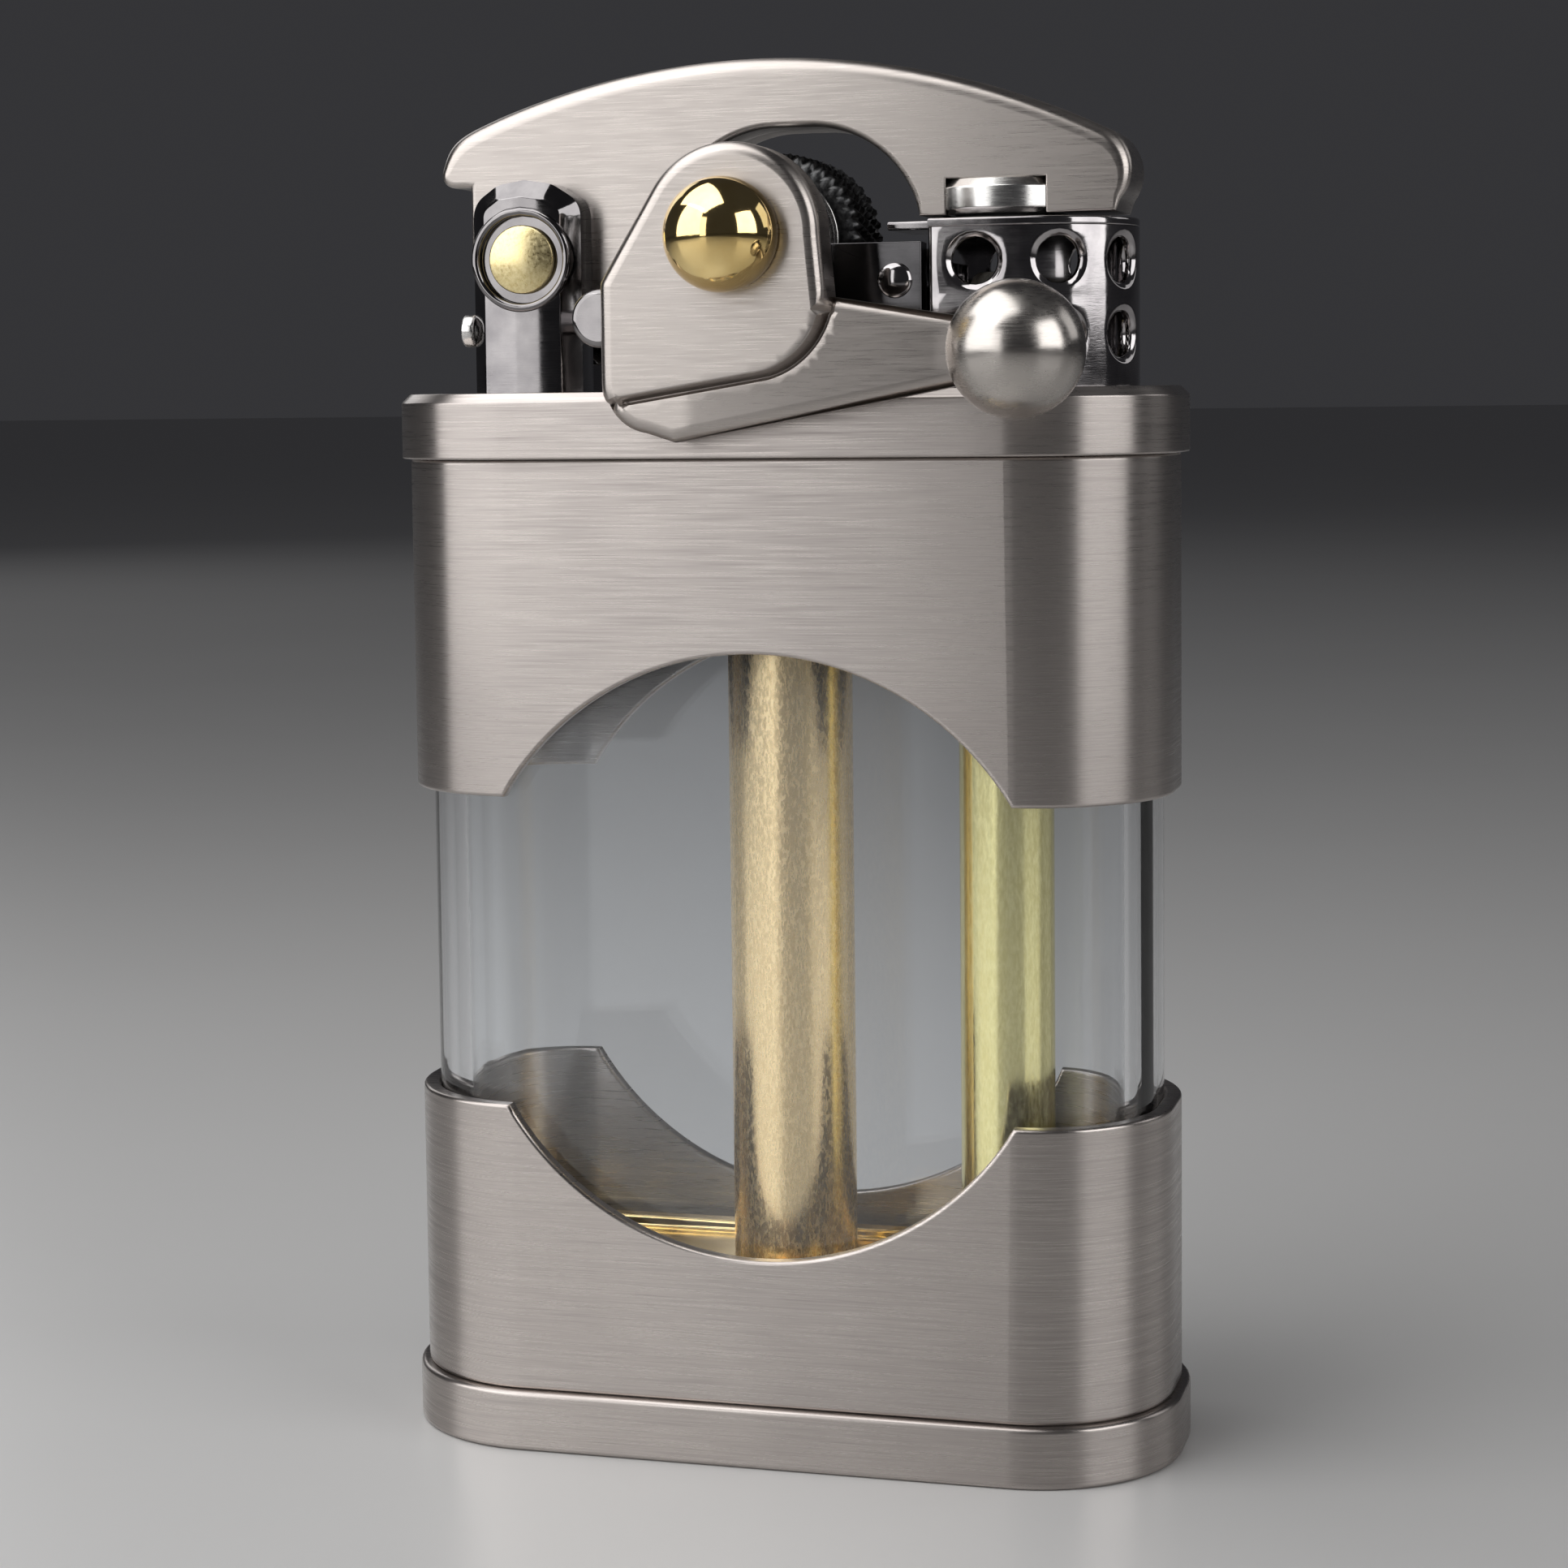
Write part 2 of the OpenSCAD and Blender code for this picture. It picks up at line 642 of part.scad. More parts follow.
// Post with an arched top, a slot for the arm and a bore for the hinge pin
module hinge_post() {
    top = hinge_z + post_crown;
    half = post_w / 2;
    arch_z = top - post_arch_r;
    reach = post_d / 2;
    color("#55525a") union() {
        difference() {
            intersection() {
                plate(-reach, reach) union() {
                    translate([hinge_x - half, deck_z]) square([post_w, arch_z - deck_z]);
                    intersection() {
                        translate([hinge_x, arch_z]) circle(post_arch_r);
                        translate([hinge_x - half, arch_z - eps]) square([post_w, post_arch_r + 1]);
                    }
                }
                translate([hinge_x, 0, deck_z]) linear_extrude(top - deck_z) union() {
                    square([post_w - 2 * post_edge_r, post_d], center = true);
                    square([post_w, post_d - 2 * post_edge_r], center = true);
                    for (sx = [-1, 1], sy = [-1, 1])
                        translate([sx * (half - post_edge_r), sy * (reach - post_edge_r)])
                            circle(post_edge_r);
                }
            }
            translate([hinge_x - post_w, -slot_half, slot_floor]) cube([2 * post_w, 2 * slot_half, 2 * top]);
            across(hinge_x, hinge_z, pin_r + seat_gap, -post_d, post_d);
            across(hinge_x, hinge_z, pin_well_r, -post_d, -reach + pin_well_d);
            translate([hinge_x - half - eps, post_screw_y(), deck_z + post_screw_rise]) rotate([0, 90, 0])
                cylinder(r = post_screw_r / 2 + seat_gap, h = post_screw_l + eps);
        }
        upright(hinge_x, tenon_r, deck_z - tenon_l, deck_z + post_base_h / 2);
    }
}

function post_screw_y() = -(post_d / 2 + slot_half) / 2;

module hinge_pin() {
    seat = -post_d / 2 + pin_well_d;
    color("#c9a85c") union() {
        across(hinge_x, hinge_z, pin_head_r, seat - pin_head_h, seat);
        across(hinge_x, hinge_z, pin_r, seat - pin_head_h / 2, post_d / 2);
    }
}

module post_screw() {
    face = hinge_x - post_w / 2;
    color("#c9c6c2") translate([face, post_screw_y(), deck_z + post_screw_rise]) rotate([0, 90, 0]) union() {
        translate([0, 0, -post_screw_h]) cylinder(r = post_screw_r, h = post_screw_h);
        translate([0, 0, -post_screw_h / 2])
            cylinder(r = post_screw_r / 2, h = post_screw_h / 2 + post_screw_l);
    }
}

// Bowed leaf between the post's base and the arm's hub
module detent_leaf() {
    half = post_w / 2 - leaf_in;
    rise = hinge_z - hub_r - leaf_gap - leaf_t - slot_floor;
    bow = (half * half + rise * rise) / (2 * rise);
    middle = slot_floor + rise - bow;
    color("#b9b6ae") plate(-leaf_w / 2, leaf_w / 2) intersection() {
        translate([hinge_x, middle]) difference() {
            circle(bow + leaf_t);
            circle(bow);
        }
        translate([hinge_x - post_w, slot_floor]) square([2 * post_w, post_w]);
    }
}

// Plan of the chimney: flat on the left, round on the right
module chimney_plan(inset = 0) {
    half = chimney_d / 2;
    flat_l = chimney_l - half;
    translate([chimney_x + inset, -half + inset]) square([flat_l - inset, chimney_d - 2 * inset]);
    translate([chimney_x + flat_l, 0]) intersection() {
        circle(half - inset);
        translate([0, -half]) square([half, chimney_d]);
    }
}

// One air hole through the round end at an angle from the front
module air_hole(a, z) {
    translate([chimney_x + chimney_l - chimney_d / 2, 0, z]) rotate([0, 0, a - 90]) rotate([0, 90, 0])
        cylinder(r = air_r, h = chimney_d);
}

module chimney() {
    middle = chimney_x + chimney_l - chimney_d / 2;
    first = 90 - (air_count - 1) / 2 * air_step;
    arc_step = chimney_d / 2 * air_step * PI / 180;
    flat_x = middle - arc_step + chimney_d / 2 * first * PI / 180;
    color("#6a666b") difference() {
        translate([0, 0, deck_z]) linear_extrude(chimney_h) difference() {
            chimney_plan();
            chimney_plan(chimney_wall);
        }
        for (z = [deck_z + air_low, deck_z + air_high]) {
            for (k = [0 : air_count - 1]) air_hole(first + k * air_step, z);
            across(flat_x, z, air_r, -chimney_d, chimney_d);
        }
        translate([chimney_x - 1, -spark_w / 2, deck_z + air_low])
            cube([1 + 2 * chimney_wall, spark_w, air_high - air_low]);
    }
}

module chimney_lid() {
    color("#6a666b") translate([0, 0, lid_z]) difference() {
        linear_extrude(lid_t) union() {
            chimney_plan();
            translate([chimney_x - tongue_l, -tongue_w / 2]) square([tongue_l + 1, tongue_w]);
        }
        upright(wick_x, flame_r, -eps, lid_t + eps);
    }
}

// Side view of one cheek of the yoke
module cheek_side() {
    translate([0, axle_z]) circle(cheek_r);
    translate([-cheek_r, deck_z]) square([2 * cheek_r, axle_rise]);
    translate([0, deck_z]) square([yoke_right, guide_rise]);
}

module wheel_yoke() {
    color("#3b383d") difference() {
        union() {
            plate(-cheek_out, -cheek_in) cheek_side();
            plate(cheek_in, cheek_out) cheek_side();
            translate([yoke_left, -cheek_out, deck_z])
                cube([yoke_right - yoke_left, 2 * cheek_out, yoke_floor]);
        }
        upright(0, flint_tube_r + seat_gap, deck_z - eps, deck_z + yoke_floor + eps);
        across(0, axle_z, sleeve_r + run_gap, -cheek_out - eps, -cheek_in + eps);
        across(0, axle_z, axle_r + run_gap, cheek_in - eps, cheek_out + eps);
        across(yoke_right - cross_in, deck_z + cross_rise, cross_r + seat_gap, -cheek_out - 1, cheek_out + 1);
    }
}

module cross_pin() {
    x = yoke_right - cross_in;
    z = deck_z + cross_rise;
    color("#777278") union() {
        across(x, z, cross_r, -cheek_out - cross_head_h / 2, cheek_out + cross_head_h / 2);
        for (s = [-1, 1]) translate([0, s * (cheek_out + cross_head_h / 2), 0])
            across(x, z, cross_head_r, -cross_head_h / 2, cross_head_h / 2);
    }
}

// Torsion spring around the sleeve, from the yoke's front cheek to the back of the lever
module lever_spring() {
    wire = 2 * coil_wire_r;
    front = lever_back + side_gap;
    back = -cheek_out;
    steps = coil_curls * rings;
    turns = [for (i = [0 : steps]) 360 * i / rings];
    pitch = (back - front - 2 * wire) / steps;
    coil = [for (i = [0 : steps]) [coil_r * cos(turns[i]), front + wire + pitch * i,
                                   axle_z + coil_r * sin(turns[i])]];
    start = [coil_r, front, axle_z];
    end = [coil_r, back, axle_z];
    path = concat([start], coil, [end]);
    out = concat([[1, 0, 0]], [for (a = turns) [cos(a), 0, sin(a)]], [[1, 0, 0]]);
    echo(lever_spring_gap = least_gap(coil, rings, coil_wire_r));
    color("#9a9da0") tube_along(path, out, coil_wire_r);
}

module flint() {
    color("#4a4744") upright(0, flint_r, flint_foot, flint_tip);
}

module flint_plunger() {
    color("#c4a04f") union() {
        upright(0, flint_bore_r - run_gap, plunger_foot, flint_foot);
        upright(0, stem_r, plunger_foot - stem_l, plunger_foot + plunger_h / 2);
    }
}

module flint_screw() {
    color("#c8a553") difference() {
        union() {
            upright(0, flint_head_r, head_sink, head_top);
            upright(0, flint_bore_r - run_gap, head_top - head_h / 4, flint_screw_top);
            upright(0, stem_r, flint_screw_top - stem_l, flint_screw_top + stem_l);
        }
        screw_slot(0, flint_head_r);
    }
}

module filler_screw() {
    color("#c8a553") difference() {
        union() {
            upright(filler_x, filler_head_r, head_sink, head_top);
            upright(filler_x, filler_shank_r, head_top - head_h / 4, floor_z - filler_sink);
        }
        screw_slot(filler_x, filler_head_r);
    }
}

module filler_oring() {
    color("#1f1d1b") translate([filler_x, 0, head_top + oring_room / 2]) rotate_extrude()
        translate([filler_shank_r + oring_r + oring_gap, 0]) circle(oring_r, $fn = 24);
}

// Where the drive stud lies on the lever when the lever has turned by an angle, from the pivot
function stud_on_lever(a) = let (
    arm = turned([stud_x - hinge_x, stud_z - hinge_z], lift_ratio * a))
    turned([hinge_x + arm[0], hinge_rise - axle_rise + arm[1]], a);

// Pocket in the lever's back that the stud sweeps while lever and arm move together
module cam_pocket() {
    steps = 10;
    hull() for (i = [0 : steps])
        translate(stud_on_lever(lever_press * i / steps)) circle(stud_head_r + cam_gap, $fn = 32);
}

// Outline of the lever, with its round head, its heel and the arm out to the knob
module lever_outline() {
    ear = [-lever_left, -ear_drop];
    touch = atan2(ear[1], ear[0]) + 360 - acos(lever_head_r / norm(ear));
    neck_x = knob_x - neck_in;
    polygon(concat(
        arc(0, 0, lever_head_r, 0, touch, 32),
        arc(ear_r - lever_left, -ear_drop, ear_r, touch, 180, 4),
        arc(heel_r - lever_left, heel_r + heel_rise - lever_drop, heel_r, 180, 262, 12),
        [[toe_x - lever_left, -lever_drop], [neck_x, -knob_drop - lever_end_h / 2],
         [neck_x, -knob_drop + lever_end_h / 2], [lever_head_r + shoulder_out, -shoulder_drop]]));
}

// What is cut from the lever's face to leave the raised pad, whose lower edge sweeps up to the right
module pad_step() {
    left = -lever_left - 1;
    sweep = arc(pad_sweep_x, -pad_sweep_drop, pad_sweep_r, -75, -2, 16);
    far = lever_drop + knob_x;
    polygon(concat([[left, -far], [left, -pad_drop]], sweep, [[far, sweep[16][1]], [far, -far]]));
}

// Sets what it holds at the knob's middle, with +Z along the tenon towards the lever's arm
module at_knob() {
    translate([knob_x, knob_y, knob_z]) rotate([0, 0, -tenon_lean]) rotate([0, -90, 0]) children();
}

module thumb_lever() {
    color("#8a827d") union() {
        difference() {
            translate([0, 0, axle_z]) plate(pad_face, lever_back) lever_outline();
            translate([0, 0, axle_z]) plate(pad_face - 1, lever_face) pad_step();
            across(0, axle_z, axle_r + seat_gap, pad_face - 1, lever_back + 1);
            translate([0, 0, axle_z]) plate(lever_back - stud_head_l - side_gap, lever_back + 1) cam_pocket();
            translate([knob_x, knob_y, knob_z]) sphere(knob_r + seat_gap);
        }
        at_knob() translate([0, 0, knob_r - knob_tenon_l])
            cylinder(r = knob_tenon_r, h = knob_tenon_l + tenon_grip);
    }
}

module lever_knob() {
    color("#7d7671") at_knob() rotate_extrude() difference() {
        intersection() {
            circle(knob_r);
            translate([0, -knob_r]) square([knob_r, 2 * knob_r]);
        }
        translate([-eps, knob_r - knob_tenon_l - seat_gap])
            square([knob_tenon_r + seat_gap + eps, 2 * knob_r]);
    }
}

module pivot_cap() {
    color("#d8b25a") translate([0, pad_face, axle_z]) rotate([90, 0, 0]) rotate_extrude() intersection() {
        translate([0, cap_ball_out]) circle(cap_ball_r);
        square([cap_ball_r, cap_ball_out + cap_ball_r]);
    }
}

module striker_axle() {
    color("#b4b1ac") across(0, axle_z, axle_r, pad_face, cheek_out + side_gap + clip_t);
}

module drive_sleeve() {
    color("#8f8c88") difference() {
        across(0, axle_z, sleeve_r, lever_back, pawl_y);
        across(0, axle_z, axle_r + seat_gap, lever_back - eps, pawl_y + eps);
    }
}

// Plate on the sleeve's end, with one finger that reaches over the ratchet ring
module pawl_plate() {
    finger_r = ratchet_r + pawl_gap;
    color("#6f6c69") difference() {
        union() {
            across(0, axle_z, pawl_r, pawl_y, pawl_y + pawl_t);
            intersection() {
                across(0, axle_z, pawl_r, pawl_y, ratchet_y + ratchet_t - side_gap);
                translate([-finger_w / 2, -wheel_w, axle_z + finger_r]) cube([finger_w, 2 * wheel_w, pawl_r]);
            }
        }
        across(0, axle_z, axle_r + seat_gap, pawl_y - eps, 0);
    }
}

module axle_clip() {
    front = cheek_out + side_gap;
    color("#5f5d5c") difference() {
        across(0, axle_z, clip_r, front, front + clip_t);
        across(0, axle_z, axle_r + seat_gap, front - eps, front + clip_t + eps);
        translate([-clip_mouth / 2, front - eps, axle_z - 2 * clip_r])
            cube([clip_mouth, clip_t + 2 * eps, 2 * clip_r]);
    }
}

// Wheel with one saw tooth per step
module flint_wheel() {
    step = 360 / wheel_teeth;
    rim = [for (k = [0 : wheel_teeth - 1]) each [
        turned([wheel_r, 0], k * step), turned([wheel_r - tooth_d, 0], (k + flank) * step)]];
    color("#4c4a49") translate([0, 0, axle_z]) difference() {
        plate(-wheel_half, wheel_half) polygon(rim);
        across(0, 0, axle_r + run_gap, -wheel_half - eps, wheel_half + eps);
    }
}

module ratchet_ring() {
    step = 360 / ratchet_teeth;
    rim = [for (k = [0 : ratchet_teeth - 1]) each [
        turned([ratchet_r, 0], k * step), turned([ratchet_r - ratchet_d, 0], (k + 1 - flank) * step)]];
    color("#7c7975") translate([0, 0, axle_z]) difference() {
        plate(ratchet_y, -wheel_half) polygon(rim);
        across(0, 0, axle_r + run_gap, ratchet_y - eps, -wheel_half + eps);
    }
}

module wheel_washer() {
    color("#a5a29c") difference() {
        across(0, axle_z, sleeve_r, wheel_half, cheek_in - side_gap);
        across(0, axle_z, axle_r + run_gap, wheel_half - eps, cheek_in);
    }
}

// Side view of the arm: a long crown, a hub on the hinge, a leg to the stud and an arch over the wheel
module arm_side() {
    left = hinge_x - arm_left;
    end_top = atan2(arm_end_z - crown_mid, arm_end_x - crown_x);
    tip_top = acos((left - crown_x) / crown_r);
    under = 360 - stud_angle - acos((hub_r - stud_boss_r) / stud_reach);
    polygon(concat(
        [[arm_end - end_undercut, pad_z]],
        arc(arm_end_x, arm_end_z, arm_end_r, -40, end_top, 12),
        arc(crown_x, crown_mid, crown_r, end_top, tip_top, 48),
        arc(left + tip_r, tip_z + tip_r, tip_r, 180, 270, 6),
        [[hinge_x - hub_r, tip_z]],
        arc(hinge_x, hinge_z, hub_r, 180, under, 12),
        arc(stud_x, stud_z, stud_boss_r, under, 360, 12),
        arc(0, axle_z, arch_r, 180, 90, 16),
        arc(arch_len, axle_z, arch_r, 90, asin((pad_z - axle_z) / arch_r), 16)));
}

module lift_arm() {
    cap_top = pad_z + cap_h;
    color("#8f8781") difference() {
        plate(-arm_t / 2, arm_t / 2) arm_side();
        across(hinge_x, hinge_z, pin_r + run_gap, -arm_t, arm_t);
        across(stud_x, stud_z, stud_shank_r + seat_gap, -arm_t, -arm_t / 2 + stud_seat);
        upright(wick_x, cap_r + seat_gap, pad_z - 1, cap_top + seat_gap);
        upright(wick_x, rivet_r + seat_gap, pad_z, cap_top + rivet_l + seat_gap);
    }
}

module drive_stud() {
    head_back = -case_front;
    color("#b7b3ad") union() {
        across(stud_x, stud_z, stud_shank_r, head_back - stud_head_l / 2, -arm_t / 2 + stud_seat);
        across(stud_x, stud_z, stud_head_r, lever_back - stud_head_l, head_back);
    }
}

module snuffer_cap() {
    color("#8d8580") difference() {
        union() {
            upright(wick_x, cap_r, pad_z, pad_z + cap_h - cap_bevel);
            translate([wick_x, 0, pad_z + cap_h - cap_bevel])
                cylinder(r1 = cap_r, r2 = cap_r - cap_bevel, h = cap_bevel);
        }
        upright(wick_x, rivet_r + seat_gap, pad_z + cap_h - rivet_seat, pad_z + cap_h + eps);
    }
}

module snuffer_seal() {
    color("#1f1d1b") upright(wick_x, snuff_seal_r, pad_z - snuff_seal_h, pad_z);
}

module snuffer_rivet() {
    color("#b7b3ad") upright(wick_x, rivet_r, pad_z + cap_h - rivet_seat + seat_gap, pad_z + cap_h + rivet_l);
}

foot_plate();
lower_collar();
tank_floor();
lower_seal();
tank_glass();
upper_seal();
tank_ceiling();
upper_collar();
deck_cap();
flint_tube();
wick_tube();
wick();
flint_spring();
hinge_post();
hinge_pin();
post_screw();
detent_leaf();
chimney();
chimney_lid();
wheel_yoke();
cross_pin();
lever_spring();
flint();
flint_plunger();
flint_screw();
filler_screw();
filler_oring();
thumb_lever();
lever_knob();
pivot_cap();
striker_axle();
drive_sleeve();
pawl_plate();
axle_clip();
flint_wheel();
ratchet_ring();
wheel_washer();
lift_arm();
drive_stud();
snuffer_cap();
snuffer_seal();
snuffer_rivet();
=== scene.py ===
"""Looks of a pocket petrol lighter with a rocker lever, a lift arm and a see-through tank."""

import json
import math

import bmesh
import bpy
import numpy as np
from mathutils import Matrix, Vector
from mathutils.geometry import delaunay_2d_cdt


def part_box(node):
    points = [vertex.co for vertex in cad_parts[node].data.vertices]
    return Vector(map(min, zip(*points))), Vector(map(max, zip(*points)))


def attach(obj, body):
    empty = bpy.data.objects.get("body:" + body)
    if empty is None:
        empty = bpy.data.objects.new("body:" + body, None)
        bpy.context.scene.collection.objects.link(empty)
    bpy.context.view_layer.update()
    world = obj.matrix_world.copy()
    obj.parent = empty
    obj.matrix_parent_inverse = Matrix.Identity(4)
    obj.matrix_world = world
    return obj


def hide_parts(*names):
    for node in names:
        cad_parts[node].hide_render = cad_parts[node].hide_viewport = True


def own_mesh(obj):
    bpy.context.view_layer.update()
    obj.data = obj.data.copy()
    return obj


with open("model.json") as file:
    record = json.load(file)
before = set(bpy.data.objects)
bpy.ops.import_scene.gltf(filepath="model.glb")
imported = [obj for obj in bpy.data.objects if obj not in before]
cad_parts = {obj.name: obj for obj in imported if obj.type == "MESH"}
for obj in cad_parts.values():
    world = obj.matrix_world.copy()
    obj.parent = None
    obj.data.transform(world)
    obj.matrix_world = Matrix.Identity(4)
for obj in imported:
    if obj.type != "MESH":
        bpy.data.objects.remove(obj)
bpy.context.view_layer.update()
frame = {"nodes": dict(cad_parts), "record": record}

# Units and names
MM = 0.001
X, Y, Z = 0, 1, 2
ACROSS = ((Y, Z), (Z, X), (X, Y))
NODES = frame["nodes"]
BODY_OF = {node: body for body, nodes in frame["record"]["behaviour"]["bodies"].items() for node in nodes}


def box(node):
    """Lowest and highest corner of a node, in mm."""
    low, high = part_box(node)
    return np.array(low) / MM, np.array(high) / MM


def span(node, axis=Z):
    """Lowest and highest level of a node along an axis, in mm."""
    low, high = box(node)
    return low[axis], high[axis]


def mid_of(node):
    """Middle of a node's box, in mm."""
    low, high = box(node)
    return (low + high) / 2


def half_of(node):
    """Half of a node's width, in mm."""
    low, high = span(node, X)
    return (high - low) / 2


# Driving sizes in mm, beside those that the frame gives
COLLAR_CORNER = 6.5
COLLAR_WALL = 0.75
WINDOW_R = 13.8
GLASS_WALL = 1.5
GLASS_EDGE = 0.15
AXLE_Z = mid_of("flint_wheel")[Z]
WICK_X = mid_of("wick")[X]
WINDOW_Z = (span("upper_collar")[0] + span("lower_collar")[1]) / 2

# Narrow strip beside a rounding, which keeps flat faces flat in the light, and the angle that counts as sharp
LIP = 0.03
SHARP = math.radians(42)

# Points closer than this become one, and shorter edges go
MERGE, SHORT = 0.001, 0.0005


# Mesh building

class Shape:
    """Points in mm and faces, gathered into one mesh piece."""

    def __init__(self):
        self.points = []
        self.faces = []

    def add(self, points):
        first = len(self.points)
        self.points.extend(np.asarray(points, float).reshape(-1, 3))
        return first

    def loft(self, rings, around=True, along=False):
        """Quads between rings of equal count, closed around each ring and, if asked, from last to first."""
        starts = [self.add(ring) for ring in rings]
        count = len(rings[0])
        pairs = list(zip(starts[:-1], starts[1:]))
        if along:
            pairs.append((starts[-1], starts[0]))
        for a, b in pairs:
            for i in range(count if around else count - 1):
                j = (i + 1) % count
                self.faces.append((a + i, a + j, b + j, b + i))
        return self

    def fill(self, loops, lift, inner=(), rim=()):
        """Triangles inside the first 2D loop and outside the rest, with inner points, put in space by lift.
        rim gives the places in space of the first loop's points, where lift doesn't."""
        points = [Vector(p) for loop in loops for p in loop] + [Vector(p) for p in inner]
        edges, first = [], 0
        for loop in loops:
            n = len(loop)
            edges += [(first + i, first + (i + 1) % n) for i in range(n)]
            first += n
        found, _, faces, sources, *_ = delaunay_2d_cdt(points, edges, [], 1, 1e-7)
        middles = np.array([np.mean([found[i] for i in face], axis=0) for face in faces])
        keep = inside(middles, np.asarray(loops[0]))
        for hole in loops[1:]:
            keep &= ~inside(middles, np.asarray(hole))
        on_rim = [[i for i in source if i < len(rim)] for source in sources]
        start = self.add([rim[ids[0]] if ids else lift(p) for p, ids in zip(found, on_rim)])
        self.faces += [tuple(start + i for i in face) for face, kept in zip(faces, keep) if kept]

    def piece(self, name, crack_sides=0):
        """One smooth object. Cracks of up to crack_sides edges are closed."""
        mesh = bpy.data.meshes.new(name)
        mesh.from_pydata([tuple(p * MM) for p in self.points], [], self.faces)
        bm = bmesh.new()
        bm.from_mesh(mesh)
        bmesh.ops.remove_doubles(bm, verts=bm.verts, dist=MERGE * MM)
        bmesh.ops.dissolve_degenerate(bm, edges=bm.edges, dist=SHORT * MM)
        if crack_sides:
            bmesh.ops.holes_fill(bm, edges=[edge for edge in bm.edges if edge.is_boundary], sides=crack_sides)
        bmesh.ops.recalc_face_normals(bm, faces=bm.faces)
        for edge in bm.edges:
            edge.smooth = not edge.is_manifold or edge.calc_face_angle() < SHARP
        bm.to_mesh(mesh)
        bm.free()
        return shaded(name, mesh)


def shaded(name, mesh, bevel=0.0):
    """A smooth piece from a mesh, its sharp edges rounded if asked. Flat faces stay flat in the light."""
    mesh.polygons.foreach_set("use_smooth", [True] * len(mesh.polygons))
    raw = bpy.data.objects.new(name + "_raw", mesh)
    bpy.context.scene.collection.objects.link(raw)
    if bevel:
        edges = raw.modifiers.new("round", "BEVEL")
        edges.width = bevel * MM
        edges.segments = 3
        edges.limit_method = "ANGLE"
        edges.angle_limit = math.radians(32)
        edges.miter_outer = "MITER_ARC"
    weighted = raw.modifiers.new("normals", "WEIGHTED_NORMAL")
    weighted.weight = 80
    weighted.keep_sharp = True
    ready = raw.evaluated_get(bpy.context.evaluated_depsgraph_get())
    final = bpy.data.meshes.new_from_object(ready)
    bpy.data.objects.remove(raw)
    piece = bpy.data.objects.new(name, final)
    bpy.context.scene.collection.objects.link(piece)
    return piece


def dress(piece, node, material):
    """Put a finished piece in the place of its node."""
    piece.data.materials.clear()
    piece.data.materials.append(material)
    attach(piece, BODY_OF[node])
    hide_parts(node)


def softened(node, width):
    """A copy of a node's own shape with every sharp edge rounded."""
    bm = bmesh.new()
    bm.from_mesh(NODES[node].data)
    bmesh.ops.remove_doubles(bm, verts=bm.verts, dist=MERGE * MM)
    bmesh.ops.dissolve_limit(bm, angle_limit=math.radians(0.5), verts=bm.verts, edges=bm.edges)
    mesh = bpy.data.meshes.new(node + "_rounded")
    bm.to_mesh(mesh)
    bm.free()
    return shaded(node + "_dressed", mesh, width)


def dress_softened(*rows):
    """Dress nodes in their own shapes: rows of node, width of the rounding, slot and material."""
    for node, width, slot, material in rows:
        dress(softened(node, width), node, material)


def turned(rows, middle, axis=Z, count=64):
    """Rings of a turned shape: rows are (radius, level along the axis), middle the two other coordinates."""
    a = np.linspace(0, 2 * math.pi, count, endpoint=False)
    u, v = ACROSS[axis]
    rings = []
    for radius, level in rows:
        ring = np.zeros((count, 3))
        ring[:, u] = middle[0] + radius * np.cos(a)
        ring[:, v] = middle[1] + radius * np.sin(a)
        ring[:, axis] = level
        rings.append(ring)
    return rings


def rounded(rows, radius, steps=5):
    """A profile's rows with each inner corner rounded, or less where its sides are short."""
    straight, most, lip_share = math.radians(88), 0.45, 0.05
    rows = [np.array(p, float) for p in rows]
    out = [rows[0]]
    for before, corner, after in zip(rows[:-2], rows[1:-1], rows[2:]):
        a, b = before - corner, after - corner
        la, lb = np.linalg.norm(a), np.linalg.norm(b)
        a, b = a / la, b / lb
        half = math.acos(max(-1, min(1, float(a @ b)))) / 2
        if half > straight:
            out.append(corner)
            continue
        cut = min(radius / math.tan(half), most * la, most * lb)
        start, end = corner + a * cut, corner + b * cut
        out.append(start + a * min(LIP, lip_share * la))
        for k in range(steps + 1):
            t = k / steps
            out.append(start * (1 - t) ** 2 + corner * 2 * t * (1 - t) + end * t * t)
        out.append(end + b * min(LIP, lip_share * lb))
    out.append(rows[-1])
    return [tuple(p) for p in out]


def quarter_turn(steps):
    """Pairs of (inset, rise) round an edge of radius 1, from the flat face to the side."""
    angles = [math.pi / 2 * k / steps for k in range(steps + 1)]
    return [(1 - math.sin(a), 1 - math.cos(a)) for a in angles]


def rounded_ends(low, high, r_low, r_high, steps=6):
    """Rows of (inset, level) up a straight side, from one flat end to the other, with both edges rounded."""
    turn = quarter_turn(steps)
    rows = [(r_low + LIP, low)] + [(r_low * s, low + r_low * c) for s, c in turn]
    rows += [(0, low + r_low + LIP), (0, high - r_high - LIP)]
    return rows + [(r_high * s, high - r_high * c) for s, c in reversed(turn)] + [(r_high + LIP, high)]


# Outlines

def on_path(start, parts, s):
    """Place and outward normal at a distance s along a plan that sets out along x.
    Its parts are (length, radius): straight where the radius is 0, else turning left."""
    place, angle = np.array(start, float), -math.pi / 2
    n = np.array((0.0, -1.0))
    for length, radius in parts:
        t = min(s, length)
        if radius:
            angle += t / radius
            place, n = place - radius * n, np.array((math.cos(angle), math.sin(angle)))
            place = place + radius * n
        else:
            place = place + t * np.array((-n[1], n[0]))
        s -= t
        if s <= 0:
            break
    return place, n


